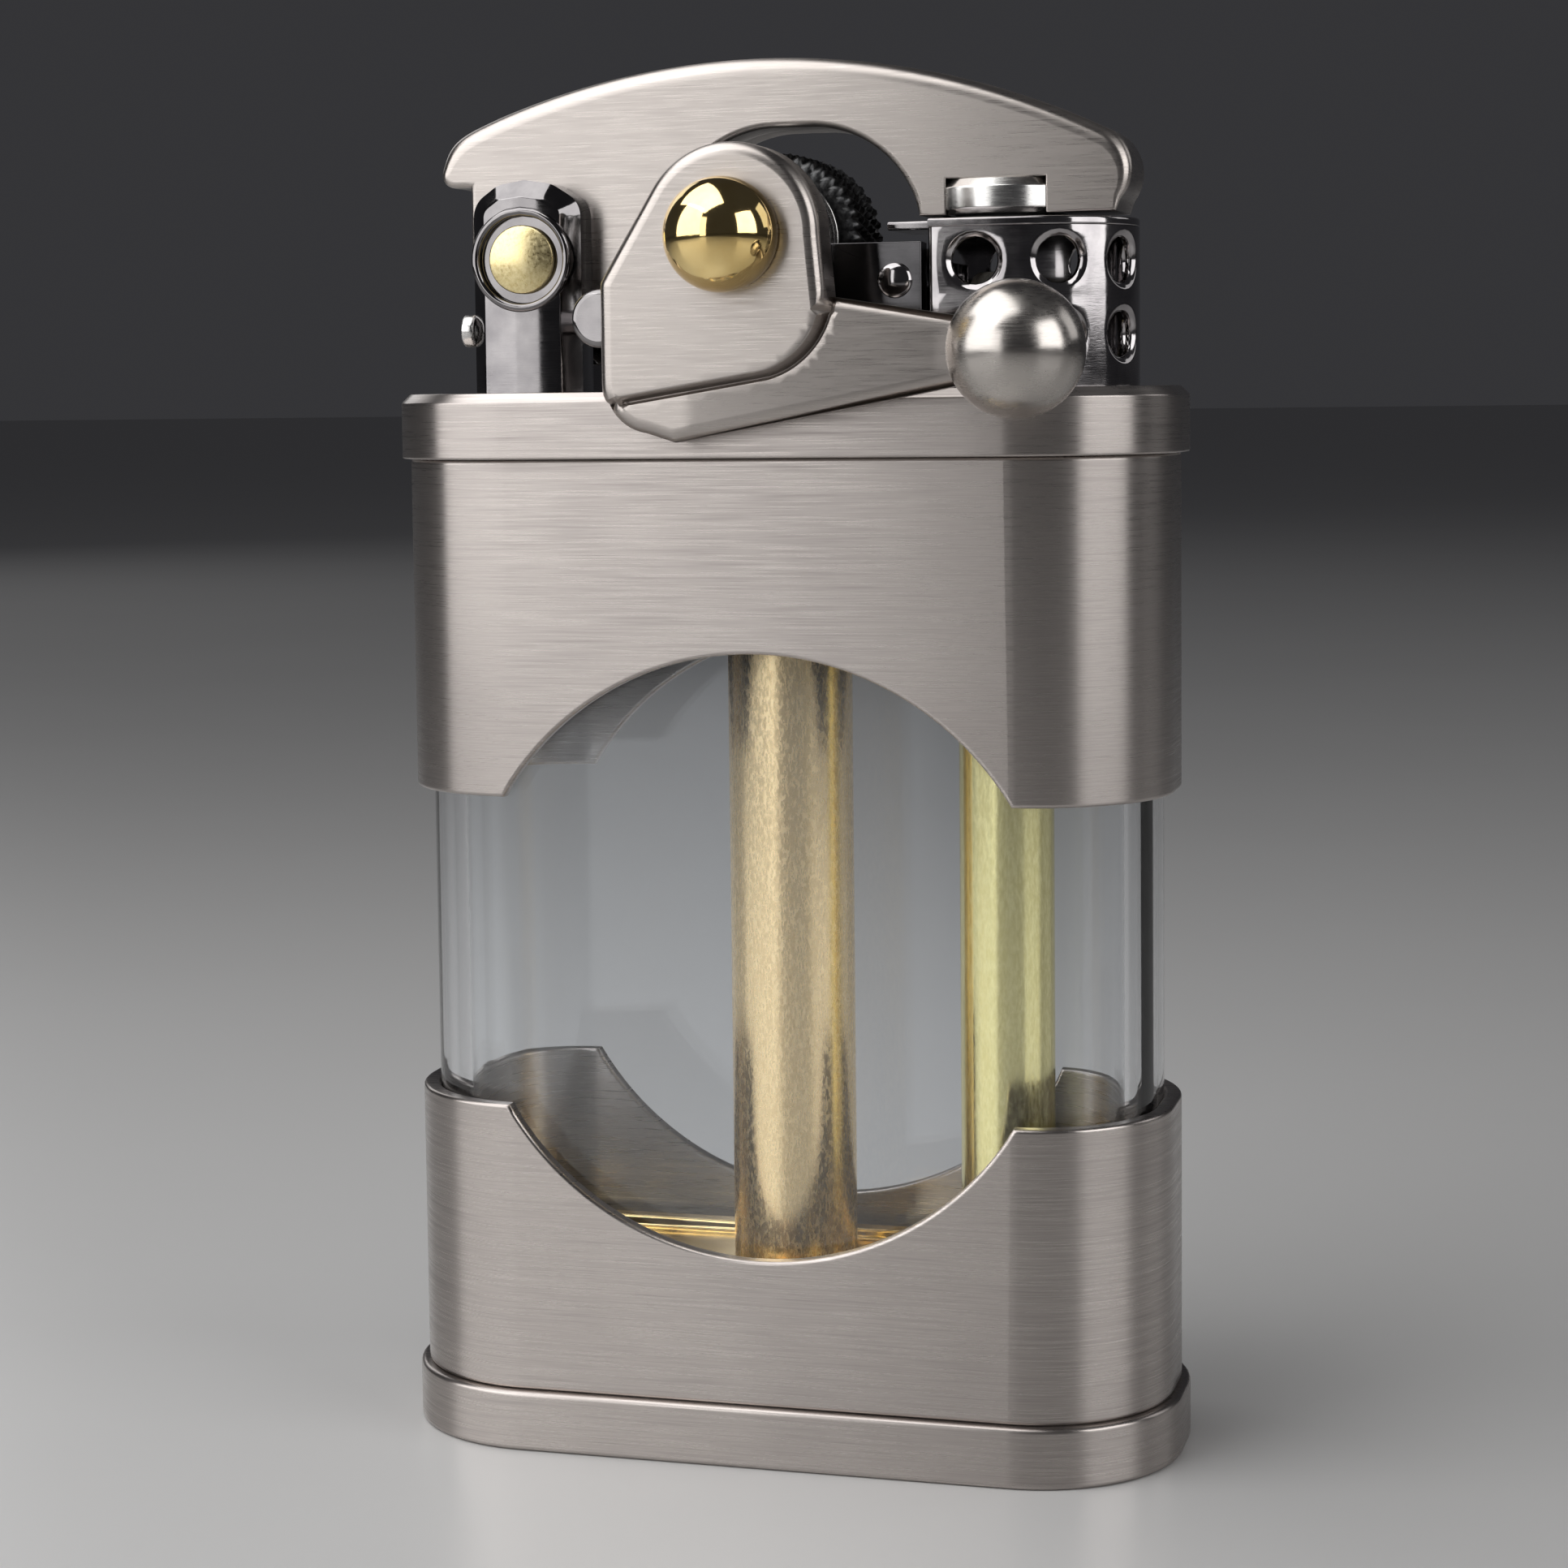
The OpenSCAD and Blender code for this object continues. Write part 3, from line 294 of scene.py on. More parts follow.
def case_plan(width, depth, corner, extra=()):
    """Points round a rounded rectangle, from the middle of its front, and their outward normals.
    extra lists distances to the side of the middle at which front and back get points too."""
    corner_steps, side_steps, least_gap = 20, 6, 0.02
    a, b, q = width / 2 - corner, depth / 2 - corner, math.pi / 2 * corner
    bend = (q, corner)
    parts = [(a, 0), bend, (2 * b, 0), bend, (2 * a, 0), bend, (2 * b, 0), bend, (a, 0)]
    ends = np.cumsum([0] + [length for length, _ in parts])
    stops = []
    for (_, radius), lo, hi in zip(parts, ends[:-1], ends[1:]):
        stops += list(np.linspace(lo, hi, corner_steps if radius else side_steps, endpoint=False))
    for x in extra:
        side = x if x <= a else a + corner * math.asin((x - a) / corner)
        back = ends[4] + a
        stops += [side % ends[-1], -side % ends[-1], back + side, back - side]
    stops = np.unique(np.round(stops, 6))
    stops = stops[np.append(True, np.diff(stops) > least_gap)]
    points, normals = zip(*(on_path((0, -depth / 2), parts, s) for s in stops))
    return np.array(points), np.array(normals)


def miters(points):
    """Outward normals of a counter-clockwise outline, lengthened at its corners so that insets stay even."""
    sides = np.roll(points, -1, 0) - points
    sides /= np.linalg.norm(sides, axis=1)[:, None]
    out = np.stack([sides[:, 1], -sides[:, 0]], 1)
    before = np.roll(out, 1, 0)
    return (out + before) / (1 + (out * before).sum(1))[:, None]


def face_loops(node, axis, levels, way):
    """Outlines of a node's flat faces at levels of an axis, facing along way, the longest first, in mm."""
    mesh, near, facing = NODES[node].data, 0.01, 0.999
    u, v = [(Y, Z), (X, Z), (X, Y)][axis]
    place, ids = {}, []
    for vertex in mesh.vertices:
        key = tuple(np.round((vertex.co[u] / MM, vertex.co[v] / MM), 3))
        ids.append(place.setdefault(key, len(place)))
    spots = list(place)
    once = {}
    for face in mesh.polygons:
        there = any(abs(face.center[axis] / MM - level) < near for level in np.atleast_1d(levels))
        if not there or face.normal[axis] * way <= facing:
            continue
        corners = [ids[i] for i in face.vertices]
        for a, b in zip(corners, corners[1:] + corners[:1]):
            if (b, a) in once:
                del once[(b, a)]
            else:
                once[(a, b)] = True
    follow = {a: b for a, b in once}
    loops = []
    while follow:
        start, at = next(iter(follow.items()))
        loop = [start]
        del follow[start]
        while at != start:
            loop.append(at)
            at = follow.pop(at)
        loops.append(np.array([spots[i] for i in loop]))
    loops.sort(key=lambda p: -np.abs(np.diff(p, axis=0)).sum())
    return loops


def turn_left(loop):
    """The loop in counter-clockwise order."""
    x, y = loop.T
    area = (x * np.roll(y, -1) - y * np.roll(x, -1)).sum()
    return loop if area > 0 else loop[::-1]


def refined(loop, step, corner=28):
    """An outline cut into short steps that keeps its corners and curves through its smooth stretches."""
    loop = turn_left(loop)
    ahead = np.roll(loop, -1, 0) - loop
    behind = loop - np.roll(loop, 1, 0)
    ua = ahead / np.linalg.norm(ahead, axis=1)[:, None]
    ub = behind / np.linalg.norm(behind, axis=1)[:, None]
    sharp = (ua * ub).sum(1) < math.cos(math.radians(corner))
    smooth = ahead + behind
    smooth /= np.linalg.norm(smooth, axis=1)[:, None]
    out = []
    for i in range(len(loop)):
        j = (i + 1) % len(loop)
        length = np.linalg.norm(ahead[i])
        t0 = (ua[i] if sharp[i] else smooth[i]) * length
        t1 = (ub[j] if sharp[j] else smooth[j]) * length
        n = max(1, round(length / step))
        for k in range(n):
            t = k / n
            places = (2 * t ** 3 - 3 * t ** 2 + 1) * loop[i] + (-2 * t ** 3 + 3 * t ** 2) * loop[j]
            slopes = (t ** 3 - 2 * t ** 2 + t) * t0 + (t ** 3 - t ** 2) * t1
            out.append(places + slopes)
    return np.array(out)


def from_sides(points, loop):
    """Distance of points from the nearest side of a loop."""
    way = np.roll(loop, -1, 0) - loop
    rel = points[:, None] - loop
    t = np.clip((rel * way).sum(2) / np.maximum((way ** 2).sum(1), 1e-12), 0, 1)
    return np.linalg.norm(rel - t[..., None] * way, axis=2).min(1)


def inset(loop, depth):
    """A counter-clockwise outline drawn in by a depth for each point.
    Points that would cross over join a neighbour."""
    depth = np.broadcast_to(depth, len(loop))
    out = loop - depth[:, None] * miters(loop)
    good = np.where(from_sides(out, loop) > 0.995 * depth - 1e-6)[0]
    count = len(loop)
    for i in np.setdiff1d(np.arange(count), good):
        gap = np.abs(good - i)
        out[i] = out[good[np.minimum(gap, count - gap).argmin()]]
    return out


def relaxed(loop, where, rounds):
    """An outline smoothed by averaging where the mask allows it."""
    for _ in range(rounds):
        mean = (np.roll(loop, 1, 0) + np.roll(loop, -1, 0)) / 2
        loop = np.where(where[:, None], 0.5 * loop + 0.5 * mean, loop)
    return loop


def inside(points, loop, margin=0.0):
    """Which points lie inside a loop, further than margin from its sides."""
    x, y = points[:, :1], points[:, 1:]
    a, b = loop, np.roll(loop, -1, 0)
    crossed = (a[:, 1] > y) != (b[:, 1] > y)
    with np.errstate(divide="ignore", invalid="ignore"):
        at = a[:, 0] + (y - a[:, 1]) * (b[:, 0] - a[:, 0]) / (b[:, 1] - a[:, 1])
    odd = np.count_nonzero(crossed & (x < at), axis=1) % 2 == 1
    return odd & (from_sides(points, loop) > margin) if margin else odd


def grid_inside(loops, step):
    """Points of an even grid inside the first loop and outside the rest, clear of their sides."""
    low, high = loops[0].min(0), loops[0].max(0)
    clear = 0.4 * step
    us, vs = (np.arange(low[k], high[k], step) for k in (0, 1))
    spots = np.array([(u, v) for u in us for v in vs])
    keep = inside(spots, loops[0], clear)
    for hole in loops[1:]:
        keep &= ~inside(spots, hole) & (from_sides(spots, hole) > clear)
    return spots[keep]


def polyline_side(points, line):
    """Signed distance of points from an open line, positive on its left."""
    way = np.diff(line, axis=0)
    rel = points[:, None] - line[:-1]
    t = np.clip((rel * way).sum(2) / (way ** 2).sum(1), 0, 1)
    d = np.linalg.norm(rel - t[..., None] * way, axis=2)
    each, near = np.arange(len(points)), d.argmin(1)
    rel, way = rel[each, near], way[near]
    return d[each, near] * np.sign(way[:, 0] * rel[:, 1] - way[:, 1] * rel[:, 0])


def spread_along(line, count):
    """Points at even steps along a line, ends left out."""
    at = np.append(0, np.cumsum(np.linalg.norm(np.diff(line, axis=0), axis=1)))
    want = np.linspace(0, at[-1], count + 2)[1:-1]
    return np.column_stack([np.interp(want, at, line[:, k]) for k in (0, 1)])


def lift_along(axis, level):
    """Puts 2D points into space at a level of an axis."""
    def lift(p):
        q = list(p)
        q.insert(axis, level)
        return q
    return lift


def layered(name, plan, rows, bores=(), grid=0.7):
    """A solid from one outline: rows of (inset, level) go from one flat end to the other.
    plan gives the outline at an inset, and bores are straight."""
    shape = Shape().loft([[(*p, level) for p in plan(depth)] for depth, level in rows])
    for depth, level in (rows[0], rows[-1]):
        loops = [plan(depth), *bores]
        shape.fill(loops, lift_along(Z, level), grid_inside(loops, grid))
    for bore in bores:
        shape.loft([[(*p, level) for p in bore] for level in (rows[0][1], rows[-1][1])])
    return shape.piece(name)


def plate(name, loop, low, high, radius, bores=(), edge_steps=7, grid=0.5):
    """A plate across y whose edges are rounded, at each point of its outline by a radius of its own."""
    edge = [(1 + LIP, 0), *quarter_turn(edge_steps), (0, 1 + LIP)]
    rings = []
    for level, way, rows in ((low, 1, edge), (high, -1, edge[::-1])):
        for depth, rise in rows:
            flat = inset(loop, depth * radius)
            rings.append(np.column_stack([flat[:, 0], level + way * rise * radius, flat[:, 1]]))
    shape = Shape().loft(rings)
    for ring, level in ((rings[0], low), (rings[-1], high)):
        loops = [ring[:, [X, Z]], *bores]
        shape.fill(loops, lift_along(Y, level), grid_inside(loops, grid))
    for bore in bores:
        shape.loft([[(p[0], level, p[1]) for p in bore] for level in (low, high)])
    return shape.piece(name)


# Materials

class Look:
    """A node material with one Principled shader, built from short calls."""

    def __init__(self, name, **settings):
        self.material = bpy.data.materials.new(name)
        self.material.use_nodes = True
        self.tree = self.material.node_tree
        self.tree.nodes.clear()
        values = {key.replace("_", " "): value for key, value in settings.items()}
        self.shader = self.node("ShaderNodeBsdfPrincipled", values)
        self.out = self.node("ShaderNodeOutputMaterial", {"Surface": self.shader.outputs["BSDF"]})
        self.place = self.node("ShaderNodeTexCoord")

    def node(self, kind, values=(), **settings):
        """A new node. values gives its inputs, by name or number, a value or another node's output."""
        node = self.tree.nodes.new(kind)
        for key, value in settings.items():
            setattr(node, key, value)
        for key, value in dict(values).items():
            if isinstance(value, bpy.types.NodeSocket):
                self.link(value, node.inputs[key])
            else:
                node.inputs[key].default_value = value
        return node

    def link(self, source, target):
        self.tree.links.new(source, target)

    def noise(self, scale, detail=2.0, roughness=0.55, distortion=0.0):
        """Noise in object space: scale gives its cells for each mm along x, y and z."""
        values = {"Scale": [s / MM for s in scale], "Vector": self.place.outputs["Object"]}
        mapping = self.node("ShaderNodeMapping", values)
        values = {"Scale": 1.0, "Detail": detail, "Roughness": roughness, "Distortion": distortion,
                  "Vector": mapping.outputs["Vector"]}
        return self.node("ShaderNodeTexNoise", values).outputs["Fac"]

    def remap(self, source, low, high, start=0.3, stop=0.7):
        """Source from start to stop, spread from low to high."""
        values = {"Value": source, "From Min": start, "From Max": stop, "To Min": low, "To Max": high}
        return self.node("ShaderNodeMapRange", values).outputs["Result"]

    def math(self, operation, a, b):
        return self.node("ShaderNodeMath", {0: a, 1: b}, operation=operation).outputs[0]

    def blend(self, factor, a, b):
        """Colour from a to b, each a colour or an output."""
        a, b = ((*colour, 1) if isinstance(colour, tuple) else colour for colour in (a, b))
        return self.node("ShaderNodeMix", {0: factor, 6: a, 7: b}, data_type="RGBA").outputs[2]

    def colour(self, source):
        self.link(source, self.shader.inputs["Base Color"])

    def rough(self, source):
        self.link(source, self.shader.inputs["Roughness"])

    def bump(self, height, depth):
        """Relief of that depth in mm."""
        node = self.node("ShaderNodeBump", {"Strength": 1.0, "Distance": depth * MM, "Height": height})
        self.link(node.outputs["Normal"], self.shader.inputs["Normal"])

    def pick_by_rise(self, side, top):
        """One value on upright faces and another on faces that look up or down."""
        split = self.node("ShaderNodeSeparateXYZ", {0: self.place.outputs["Normal"]})
        rise = self.math("POWER", self.math("ABSOLUTE", split.outputs["Z"], 0.0), 4.0)
        return self.node("ShaderNodeMix", {0: rise, 2: side, 3: top}, data_type="FLOAT").outputs[0]


def brushed(name, light, dark, rough, along, across, depth):
    """Nickel brushed in fine level lines, with patches of deeper tone."""
    look = Look(name, Metallic=1.0, Anisotropic=0.75, Anisotropic_Rotation=0.25)
    tangent = look.node("ShaderNodeTangent", direction_type="RADIAL", axis="Z")
    look.link(tangent.outputs["Tangent"], look.shader.inputs["Tangent"])
    fine = look.pick_by_rise(look.noise((along, along, across), 3), look.noise((along, across, along), 3))
    slow, wide = along / 2, across / 3
    broad = look.pick_by_rise(look.noise((slow, slow, wide)), look.noise((slow, wide, along)))
    patch = look.noise((0.09, 0.09, 0.12), 3)
    lines = look.math("ADD", look.math("MULTIPLY", fine, 0.6), look.math("MULTIPLY", broad, 0.4))
    tone = look.blend(look.remap(lines, 0.3, 1.0, 0.3, 0.66), dark, light)
    look.colour(look.blend(look.remap(patch, 0.0, 0.3), tone, dark))
    look.rough(look.remap(lines, rough + 0.07, rough - 0.05, 0.35, 0.65))
    look.bump(lines, depth)
    return look.material


def polished(name, light, dark, rough, smear=0.5):
    """Bright metal with faint smears and hair scratches."""
    look = Look(name, Metallic=1.0)
    cloud = look.noise((smear, smear, smear), 4)
    hair = look.noise((0.6, 3.0, 14.0), 2, distortion=0.6)
    look.colour(look.blend(look.remap(cloud, 0.0, 1.0), dark, light))
    both = look.math("ADD", look.math("MULTIPLY", cloud, 0.6), look.math("MULTIPLY", hair, 0.4))
    look.rough(look.remap(both, rough * 0.6, rough * 1.5))
    look.bump(hair, 0.0007)
    return look.material


def grained(name, light, dark, rough, grain, drawn, depth):
    """Satin metal with a fine speckled grain, drawn along z if asked."""
    look = Look(name, Metallic=1.0)
    speck = look.noise((grain, grain, grain * (1 - drawn)), 2, 0.7)
    streak = look.noise((3.0, 3.0, 0.06), 3)
    tone = look.blend(look.remap(speck, 0.0, 1.0, 0.35, 0.65), dark, light)
    look.colour(look.blend(look.remap(streak, 0.0, 0.15, 0.35, 0.7), tone, dark))
    look.rough(look.remap(speck, rough - 0.06, rough + 0.09, 0.35, 0.65))
    look.bump(speck, depth)
    return look.material


def matt(name, light, dark, rough, grain, depth, **settings):
    """A dull surface with a grain in its colour and its relief."""
    look = Look(name, **settings)
    speck = look.noise(grain, 3, 0.65)
    look.colour(look.blend(look.remap(speck, 0.0, 1.0), dark, light))
    look.rough(look.remap(speck, rough - 0.08, rough + 0.08))
    look.bump(speck, depth)
    return look.material


def clear_glass(name):
    """Clear thick tube with the faint ripple of drawn glass, that lets lamps reach what it holds."""
    look = Look(name, Transmission_Weight=1.0, IOR=1.47, Roughness=0.0)
    ripple = look.noise((0.2, 0.2, 0.01), 1)
    look.colour(look.blend(ripple, (0.94, 0.965, 0.99), (0.975, 0.985, 0.995)))
    look.bump(ripple, 0.002)
    path = look.node("ShaderNodeLightPath")
    through = look.node("ShaderNodeBsdfTransparent")
    mix = look.node("ShaderNodeMixShader", {0: path.outputs["Is Shadow Ray"], 1: look.shader.outputs["BSDF"],
                                            2: through.outputs["BSDF"]})
    look.link(mix.outputs["Shader"], look.out.inputs["Surface"])
    return look.material


NICKEL = brushed("nickel_brushed", (0.53, 0.485, 0.455), (0.29, 0.26, 0.25), 0.29, 0.3, 20.0, 0.002)
NICKEL_FINE = brushed("nickel_fine", (0.46, 0.42, 0.392), (0.38, 0.346, 0.326), 0.30, 0.6, 30.0, 0.0008)
NICKEL_SATIN = polished("nickel_satin", (0.47, 0.44, 0.41), (0.43, 0.40, 0.375), 0.24)
CHROME = polished("dark_chrome_polished", (0.42, 0.40, 0.40), (0.26, 0.245, 0.25), 0.09)
SMOKED = polished("dark_chrome_smoked", (0.24, 0.228, 0.228), (0.15, 0.142, 0.146), 0.08)
# Chrome whose base colour is painted near black: a painted dark reflection, standing in for the dark
# surroundings that the wheel yoke's chrome reflects
CHROME_PAINTED_DARK_REFLECTION = polished("chrome_painted_dark_reflection", (0.14, 0.135, 0.14), (0.07, 0.068, 0.07), 0.13)
BRASS = grained("brass_satin", (1.0, 0.79, 0.46), (0.91, 0.68, 0.37), 0.24, 7.0, 0.6, 0.0012)
TANK_BRASS = polished("brass_polished", (0.95, 0.75, 0.40), (0.84, 0.62, 0.28), 0.13)
BRIGHT_BRASS = grained("brass_drawn", (0.96, 0.89, 0.46), (0.87, 0.78, 0.36), 0.17, 7.0, 0.7, 0.001)
GOLD = polished("gold_polished", (0.93, 0.72, 0.34), (0.80, 0.57, 0.22), 0.07)
PALE_GOLD = grained("gold_matt", (0.86, 0.74, 0.43), (0.70, 0.57, 0.28), 0.33, 6.0, 0.0, 0.004)
STEEL = polished("steel_turned", (0.66, 0.65, 0.63), (0.52, 0.51, 0.50), 0.22)
DARK_STEEL = matt("steel_hardened", (0.10, 0.10, 0.10), (0.035, 0.035, 0.037), 0.38, (5, 5, 5), 0.01,
                  Metallic=1.0)
RUBBER = matt("rubber_black", (0.045, 0.045, 0.047), (0.02, 0.02, 0.021), 0.72, (6, 6, 6), 0.01)
FLINT = matt("ferrocerium", (0.20, 0.19, 0.18), (0.11, 0.105, 0.10), 0.6, (7, 7, 7), 0.02, Metallic=0.6)
COTTON = matt("cotton_wick", (0.80, 0.76, 0.68), (0.42, 0.38, 0.33), 0.9, (5, 5, 2), 0.06)
GLASS = clear_glass("tank_clear")


# Case

def node_plan(node, corner, extra=()):
    """A rounded rectangle as wide and deep as a node."""
    width, depth = (box(node)[1] - box(node)[0])[:2]
    return case_plan(width, depth, corner, extra)


def collar(node, rim_z, far_z):
    """A collar with a round window bite: rim_z is its bitten end, far_z its level one."""
    edge, far_edge, wall, bite_steps, edge_steps = 0.16, 0.2, COLLAR_WALL, 30, 5
    bite = math.sqrt(WINDOW_R ** 2 - (rim_z - WINDOW_Z) ** 2)
    angles = np.linspace(0, math.asin(bite / WINDOW_R), bite_steps)
    points, normals = node_plan(node, COLLAR_CORNER, WINDOW_R * np.sin(angles))
    way = 1.0 if far_z > rim_z else -1.0
    arch = WINDOW_Z + way * np.sqrt(np.maximum(WINDOW_R ** 2 - points[:, 0] ** 2, 0))
    rim = np.column_stack([points, np.where(np.abs(points[:, 0]) < bite, arch, rim_z)])
    out = np.column_stack([normals, np.zeros(len(normals))])
    ahead = np.roll(rim, -1, 0) - rim
    ahead /= np.linalg.norm(ahead, axis=1)[:, None]
    lean = np.cross(out, ahead) * way
    before = np.cross(out, np.roll(ahead, 1, 0)) * way
    inward = (lean + before) / (1 + (lean * before).sum(1))[:, None]

    def near(t, u):
        """Ring at a depth t in the wall, u away from the bitten rim."""
        return rim - t * out + u * inward

    def level(t, u):
        """Ring at a depth t in the wall, u away from the level rim."""
        return np.column_stack([(rim - t * out)[:, :2], np.full(len(rim), far_z - way * u)])

    turn = quarter_turn(edge_steps)
    rings = [near(edge * s, edge * c) for s, c in turn]
    rings += [near(0, edge + LIP), level(0, far_edge + LIP)]
    rings += [level(far_edge * c, far_edge * s) for s, c in turn]
    rings += [level(wall - far_edge * s, far_edge * c) for s, c in turn]
    rings += [level(wall, far_edge + LIP), near(wall, edge + LIP)]
    rings += [near(wall - edge * c, edge * s) for s, c in turn]
    return Shape().loft(rings, along=True).piece(node + "_shell")


def box_plan(node, corner):
    """The rounded rectangle of a node's plan at any inset."""
    points, normals = node_plan(node, corner)
    middle = mid_of(node)[:2]

    def plan(depth):
        return points - depth * normals + middle
    return plan


def bores(node, level, way):
    """The holes in a node's level face."""
    return face_loops(node, Z, level, way)[1:]


COLLAR_X = span("upper_collar", X)[1]
dress(collar("upper_collar", *span("upper_collar")), "upper_collar", NICKEL)
dress(collar("lower_collar", *reversed(span("lower_collar"))), "lower_collar", NICKEL)

DECK_LOW, DECK_TOP = span("deck_cap")
FOOT_LOW, FOOT_TOP = span("foot_plate")
CAP_CORNER = COLLAR_CORNER + span("deck_cap", X)[1] - COLLAR_X
DECK_CHAMFER, DECK_LAND, DECK_EDGE, FOOT_EDGE = 0.42, 0.3, 0.1, 0.22
DECK_ROWS = [(DECK_LAND, DECK_LOW), (0, DECK_LOW), (0, DECK_TOP - DECK_CHAMFER), (DECK_CHAMFER, DECK_TOP),
             (2 * DECK_CHAMFER, DECK_TOP)]
FOOT_ROWS = rounded_ends(FOOT_LOW, FOOT_TOP, FOOT_EDGE, FOOT_EDGE)
dress(layered("deck_cap_shell", box_plan("deck_cap", CAP_CORNER), rounded(DECK_ROWS, DECK_EDGE),
              bores=bores("deck_cap", DECK_TOP, 1)), "deck_cap", NICKEL)
dress(layered("foot_plate_shell", box_plan("foot_plate", CAP_CORNER), FOOT_ROWS,
              bores=bores("foot_plate", FOOT_LOW, -1)), "foot_plate", NICKEL)


def tank_plan(node):
    """Plan of a piece of the tank, whose corners follow the collar's."""
    return box_plan(node, COLLAR_CORNER - (COLLAR_X - span(node, X)[1]))


def glass_tube():
    """Thick tube with rounded ends."""
    plan = tank_plan("tank_glass")
    outer = rounded_ends(*span("tank_glass"), GLASS_EDGE, GLASS_EDGE)[1:-1]
    inner = [(GLASS_WALL - depth, level) for depth, level in reversed(outer)]
    rings = [[(*p, z) for p in plan(depth)] for depth, z in outer + inner]
    return Shape().loft(rings, along=True).piece("tank_glass_tube")


def tank_floor():
    """Brass bottom: a flange under the seal and a plug with a raised border inside the glass."""
    low, high = span("tank_floor")
    flange_top = span("lower_seal")[0]
    gap, border, slope, land, sunk, edge = 0.1, 1.0, 0.1, 0.8, 0.45, 0.18
    plug = GLASS_WALL + gap
    inner, sunk_z = plug + border, high - sunk
    rows = [(0.3, low), (0, low), (0, flange_top), (plug, flange_top), (plug, high), (inner, high),
            (inner + slope, sunk_z), (inner + land, sunk_z)]
    return layered("tank_floor_plug", tank_plan("tank_floor"), rounded(rows, edge),
                   bores=bores("tank_floor", high, 1))


dress(glass_tube(), "tank_glass", GLASS)
dress(tank_floor(), "tank_floor", TANK_BRASS)
dress_softened(("tank_ceiling", 0.15, "brass", TANK_BRASS),
               ("lower_seal", 0.2, "rubber", RUBBER),
               ("upper_seal", 0.2, "rubber", RUBBER))


# Tubes, flint and wick

def pipe(node, wall, edge=0.12):
    """A turned tube about z with rounded ends."""
    r = half_of(node)
    rows = rounded_ends(*span(node), edge, edge)[1:-1]
    profile = [(r - depth, z) for depth, z in rows] + [(r - wall + depth, z) for depth, z in reversed(rows)]
    return Shape().loft(turned(profile, (mid_of(node)[X], 0)), along=True).piece(node + "_drawn")


def braided_wick():
    """A round braid of strands that cross each other, drawn in at its burnt tip."""
    low, high = span("wick")
    relief, strands, pitch, tip_l, tip_r = 0.16, 4, 5.0, 0.6, 0.75
    count, rows = 64, 240
    a = np.linspace(0, 2 * math.pi, count, endpoint=False)
    rings = []
    for z in np.linspace(low, high, rows):
        turn = 2 * math.pi * z / pitch
        strand = np.maximum(np.abs(np.sin(strands * a + turn)), np.abs(np.sin(strands * a - turn)))
        tip = min(1.0, math.sqrt(max(0.0, (high - z) / tip_l)) * (1 - tip_r) + tip_r)
        radius = (half_of("wick") - relief * (1 - strand)) * tip
        rings.append(np.column_stack([WICK_X + radius * np.cos(a), radius * np.sin(a), np.full(count, z)]))
    shape = Shape().loft(rings)
    for ring, end in ((rings[0], low), (rings[-1], high)):
        shape.fill([ring[:, :2]], lift_along(Z, end))
    return shape.piece("wick_braid")


def coil(node, middle, radius, wire, curls, axis):
    """A node's spring, of round wire wound evenly about an axis."""
    start, stop = span(node, axis)
    sides, steps = 10, 20
    count = int(curls * steps)
    u, v = ACROSS[axis]
    section = [2 * math.pi * k / sides for k in range(sides)]
    rings = []
    for i in range(count + 1):
        turn = 2 * math.pi * i / steps
        out, up = np.zeros(3), np.zeros(3)
        out[u], out[v] = math.cos(turn), math.sin(turn)
        up[axis] = 1
        spot = radius * out
        spot[u] += middle[0]
        spot[v] += middle[1]
        spot[axis] = start + wire + (stop - start - 2 * wire) * i / count
        rings.append(np.array([spot + wire * (math.cos(b) * out + math.sin(b) * up) for b in section]))
    shape = Shape().loft(rings)
    for ring in (rings[0], rings[-1]):
        first = shape.add(ring)
        shape.faces.append(tuple(range(first, first + sides)))
    return shape.piece(node + "_wire")


FLINT_TUBE_WALL, WICK_TUBE_WALL = 1.6, 0.5
dress(pipe("flint_tube", FLINT_TUBE_WALL), "flint_tube", BRASS)
dress(pipe("wick_tube", WICK_TUBE_WALL), "wick_tube", BRIGHT_BRASS)
dress(braided_wick(), "wick", COTTON)

FLINT_CURLS, FLINT_COIL_R, FLINT_WIRE_R = 24, 0.95, 0.17
LEVER_CURLS, LEVER_COIL_R, LEVER_WIRE_R = 3, 2.45, 0.2
spring = coil("flint_spring", (0, 0), FLINT_COIL_R, FLINT_WIRE_R, FLINT_CURLS, Z)
dress(spring, "flint_spring", STEEL)
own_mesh(spring)
dress(coil("lever_spring", (AXLE_Z, 0), LEVER_COIL_R, LEVER_WIRE_R, LEVER_CURLS, Y),
      "lever_spring", STEEL)
dress_softened(("flint", 0.12, "flint", FLINT),
               ("flint_plunger", 0.1, "steel", STEEL),
               ("flint_screw", 0.12, "steel", STEEL),
               ("filler_screw", 0.12, "steel", STEEL),
               ("filler_oring", 0.02, "rubber", RUBBER))


# Hinge post

def hinge_pin():
    """Pin with a low domed head."""
    front, back = span("hinge_pin", Y)
    head_r, shank_r, head_back, dome, edge = half_of("hinge_pin"), 1.1, front + 0.65, 0.32, 0.22
    rows = [(head_r * t, front + dome * t * t) for t in np.linspace(0, 1, 9)]
    rows += [(head_r, head_back), (shank_r, head_back), (shank_r, back), (0, back)]
    rings = turned(rounded(rows, edge), mid_of("hinge_pin")[[Z, X]], Y)
    return Shape().loft(rings).piece("hinge_pin_turned")


